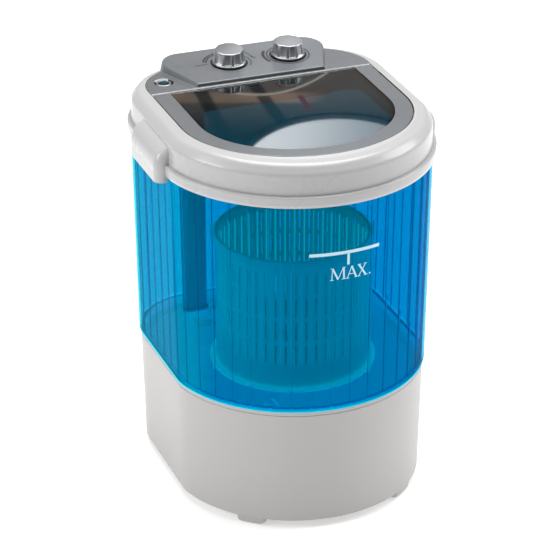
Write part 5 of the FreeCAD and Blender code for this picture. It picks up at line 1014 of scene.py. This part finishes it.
def reflected_studio():
    """What the card shows: a dim room with a shelf, poles, a wire and a bright oval dish."""
    material = bpy.data.materials.new("reflected_studio")
    material.use_nodes = True
    tree = material.node_tree
    tree.nodes.clear()
    place = tree.nodes.new("ShaderNodeSeparateXYZ")
    tree.links.new(stretched_position(tree), place.inputs[0])
    across, high = place.outputs["X"], place.outputs["Y"]
    haze = noise(tree, stretched_position(tree, (9, 22, 1)), 1.0, 3.0)
    level = soft_step(tree, high, 0.055, -0.045)
    dark = mixed_colour(tree, level, CARD_DARK, CARD_ROOM)
    ended = soft_step(tree, across, *CARD_SHELF_END)
    shelf = maths(tree, "MULTIPLY", band(tree, high, *CARD_SHELF_BAND), ended)
    shelf = maths(tree, "MULTIPLY", shelf, haze, clamp=True)
    seen = mixed_colour(tree, shelf, dark, CARD_SHELF)
    for middle, lean, width in CARD_POLES:
        slanted = maths(tree, "SUBTRACT", across, maths(tree, "MULTIPLY", high, lean))
        pole = maths(tree, "MULTIPLY", band(tree, slanted, middle, width), 0.8)
        seen = mixed_colour(tree, pole, seen, CARD_POLE)
    for middle, low in CARD_RED_MARKS:
        slanted = maths(tree, "SUBTRACT", across, maths(tree, "MULTIPLY", high, CARD_RED_LEAN))
        mark = maths(tree, "MULTIPLY", band(tree, slanted, middle, 0.005), band(tree, high, low, 0.012))
        seen = mixed_colour(tree, mark, seen, CARD_RED)
    wide = from_centre(tree, across, high, *CARD_WIRE_CENTRE)
    seen = mixed_colour(tree, band(tree, wide, *CARD_WIRE_BAND), seen, CARD_WIRE)
    dish = from_centre(tree, across, high, *CARD_DISH_CENTRE, CARD_DISH_SQUEEZE)
    seen = mixed_colour(tree, band(tree, dish, *CARD_DISH_RIM), seen, CARD_RIM)
    glow = mixed_colour(tree, soft_step(tree, across, -0.05, 0.22), CARD_DISH_LEFT, CARD_DISH_RIGHT)
    seen = mixed_colour(tree, soft_step(tree, dish, *CARD_DISH_FADE), seen, glow)
    light = tree.nodes.new("ShaderNodeEmission")
    tree.links.new(seen, light.inputs["Color"])
    output = tree.nodes.new("ShaderNodeOutputMaterial")
    tree.links.new(light.outputs[0], output.inputs["Surface"])
    return material


def add_lamp(name, place, size, power):
    """A soft lamp that faces the middle of the machine."""
    data = bpy.data.lights.new(name, "AREA")
    data.size = size
    data.energy = power
    lamp = bpy.data.objects.new(name, data)
    lamp.location = place
    middle = (CAD_BOX[0] + CAD_BOX[1]) / 2
    lamp.rotation_euler = (Vector(place) - middle).to_track_quat("Z", "Y").to_euler()
    bpy.context.scene.collection.objects.link(lamp)


def add_camera(studio):
    """A camera that looks at the target from the studio's azimuth, elevation and distance."""
    away = Vector(
        (
            math.sin(studio.azimuth) * math.cos(studio.elevation),
            -math.cos(studio.azimuth) * math.cos(studio.elevation),
            math.sin(studio.elevation),
        )
    )
    camera_data = bpy.data.cameras.new("camera")
    camera_data.lens = studio.lens
    camera_data.sensor_width = SENSOR_WIDTH
    camera = bpy.data.objects.new("camera", camera_data)
    camera.location = Vector(studio.target) + away * studio.distance
    camera.rotation_euler = (-away).to_track_quat("-Z", "Y").to_euler()
    bpy.context.scene.collection.objects.link(camera)
    bpy.context.scene.camera = camera


# ---------------------------------------------------------------- operators
class WASHER_OT_finishes(bpy.types.Operator):
    """Makes the shared node groups and every finish."""

    bl_idname = "washer.finishes"
    bl_label = "Make Finishes"

    def execute(self, context):
        colours = context.scene.washer_colours
        GROUPS["moulded_grain"] = build_grain_group()
        GROUPS["worn_and_highlit_edges"] = build_edge_group()
        GROUPS["dust_and_smears"] = build_dust_group()
        GROUPS["painted_gap_shade_and_lip_highlight"] = build_gap_shade_and_lip_highlight_group()
        make_opaque_finishes(colours)
        make_clear_finishes(colours)
        return {"FINISHED"}


class WASHER_OT_casings(bpy.types.Operator):
    """Finishes the base, the frame, the tub and what is fastened to them."""

    bl_idname = "washer.casings"
    bl_label = "Finish Casings"

    def execute(self, context):
        dress("casing_white", "base_housing", "base_plate")
        dress("frame_white", "top_frame")
        dress("tub_blue", "outer_tub")
        feet = [n for n in NODES if n.startswith("foot_") and n != "foot_screws"]
        dress("casing_white", *feet)
        dress("zinc_steel", *[n for n in NODES if n.endswith("_screws")])
        dress("dark_rubber", "lid_buffers")
        dress("grey_plastic", "drain_grille", "drain_sump", "outlet_spigot", "control_box")
        dress("black_plastic", "cord_gland", "inlet_socket", "terminal_block")
        dress("duct_blue", "cable_duct")
        settle(model_fill_mark(), "fill_mark", "cabinet", "mark_white")
        return {"FINISHED"}


class WASHER_OT_lid(bpy.types.Operator):
    """Finishes the lid's silver band, its window and hinge pins, and the inlet beside it."""

    bl_idname = "washer.lid"
    bl_label = "Finish Lid"

    def execute(self, context):
        dress("panel_silver", "lid_frame")
        dress("window_smoke", "lid_window")
        dress("zinc_steel", "hinge_pin_left", "hinge_pin_right")
        dress("turned_alloy", "inlet_tube")
        return {"FINISHED"}


class WASHER_OT_panel(bpy.types.Operator):
    """Finishes the control panel with its knobs, rings, prints and switches."""

    bl_idname = "washer.panel"
    bl_label = "Finish Panel"

    def execute(self, context):
        dress("panel_silver", "control_panel")
        dress("black_plastic", "selector_bezel", "timer_bezel", "selector_switch", "wash_timer")
        knob = model_knob()
        other = copy_of(knob)
        on_panel(knob, SELECTOR_PLACE, turn=SELECTOR_TURN)
        on_panel(other, TIMER_PLACE, turn=TIMER_TURN)
        settle(knob, "selector_knob_faceted", "selector", "knob_chrome", smooth=25)
        settle(other, "timer_knob_faceted", "timer", "knob_chrome", smooth=25)
        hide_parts("selector_knob")
        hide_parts("timer_knob")
        settle(model_dial_prints(), "dial_prints", "cabinet", "mark_black")
        dress("zinc_steel", "selector_stem", "timer_stem")
        return {"FINISHED"}


class WASHER_OT_drive(bpy.types.Operator):
    """Finishes the motor, the belt, the pulleys, the bearings and the wiring."""

    bl_idname = "washer.drive"
    bl_label = "Finish Drive"

    def execute(self, context):
        dress("motor_enamel", "motor_can")
        dress("zinc_steel", "motor_rotor", "motor_bracket", "drive_shaft", "pulley_nut")
        dress("zinc_steel", "capacitor_clamp")
        dress("turned_alloy", "bearing_housing", "driven_pulley", "motor_pulley")
        dress("sintered_bronze", "bush_lower", "bush_upper")
        dress("dark_rubber", "drive_belt", "shaft_seal", "bearing_gasket", "motor_grommets")
        dress("dark_rubber", "wiring_harness")
        dress("capacitor_white", "capacitor")
        return {"FINISHED"}


class WASHER_OT_basket(bpy.types.Operator):
    """Finishes the spin basket and the pulsator under it."""

    bl_idname = "washer.basket"
    bl_label = "Finish Basket"

    def execute(self, context):
        dress("basket_blue", "spin_basket", "basket_rim")
        dress("pulsator_white", "pulsator")
        dress("zinc_steel", "pulsator_screw")
        settle(model_flutes(), "basket_flutes", "basket", "flute_blue", smooth=40)
        return {"FINISHED"}


class WASHER_OT_stage(bpy.types.Operator):
    """Adds the floor, the camera, the lamps, the reflection card and the soft surroundings."""

    bl_idname = "washer.stage"
    bl_label = "Add Stage"

    def execute(self, context):
        studio = context.scene.washer_studio
        add_floor()
        add_camera(studio)
        add_lamp("key_lamp", KEY_LAMP_PLACE, KEY_LAMP_SIZE, studio.key_power)
        add_lamp("fill_lamp", FILL_LAMP_PLACE, FILL_LAMP_SIZE, studio.fill_power)
        add_lamp("top_lamp", TOP_LAMP_PLACE, TOP_LAMP_SIZE, studio.top_power)
        add_reflection_card()
        world = bpy.data.worlds.new("soft_surroundings")
        world.use_nodes = True
        background = world.node_tree.nodes["Background"]
        background.inputs["Color"].default_value = (1.0, 1.0, 1.0, 1.0)
        background.inputs["Strength"].default_value = SURROUNDINGS_STRENGTH
        context.scene.world = world
        context.scene.view_settings.view_transform = "Standard"
        return {"FINISHED"}


class WASHER_PT_sidebar(bpy.types.Panel):
    """Lists the steps in the order in which they run."""

    bl_idname = "WASHER_PT_sidebar"
    bl_label = "Mini Washer"
    bl_space_type = "VIEW_3D"
    bl_region_type = "UI"
    bl_category = "Washer"

    def draw(self, context):
        for group in (context.scene.washer_colours, context.scene.washer_studio):
            for key in group.bl_rna.properties.keys():
                if key not in ("rna_type", "name"):
                    self.layout.prop(group, key)
        for step in STEPS:
            self.layout.operator(step.bl_idname)


STEPS = (
    WASHER_OT_finishes,
    WASHER_OT_casings,
    WASHER_OT_lid,
    WASHER_OT_panel,
    WASHER_OT_drive,
    WASHER_OT_basket,
    WASHER_OT_stage,
)
CLASSES = (WasherColours, WasherStudio, *STEPS, WASHER_PT_sidebar)


def register():
    """Registers the classes and hangs the settings on the scene."""
    for cls in CLASSES:
        bpy.utils.register_class(cls)
    bpy.types.Scene.washer_colours = bpy.props.PointerProperty(type=WasherColours)
    bpy.types.Scene.washer_studio = bpy.props.PointerProperty(type=WasherStudio)


def unregister():
    """Takes the settings and the classes away again."""
    del bpy.types.Scene.washer_studio
    del bpy.types.Scene.washer_colours
    for cls in reversed(CLASSES):
        bpy.utils.unregister_class(cls)


def run(step):
    """Calls one operator through bpy.ops."""
    area, name = step.bl_idname.split(".")
    getattr(getattr(bpy.ops, area), name)()


def main():
    """Runs every step."""
    register()
    for step in STEPS:
        run(step)


if __name__ == "__main__":
    main()
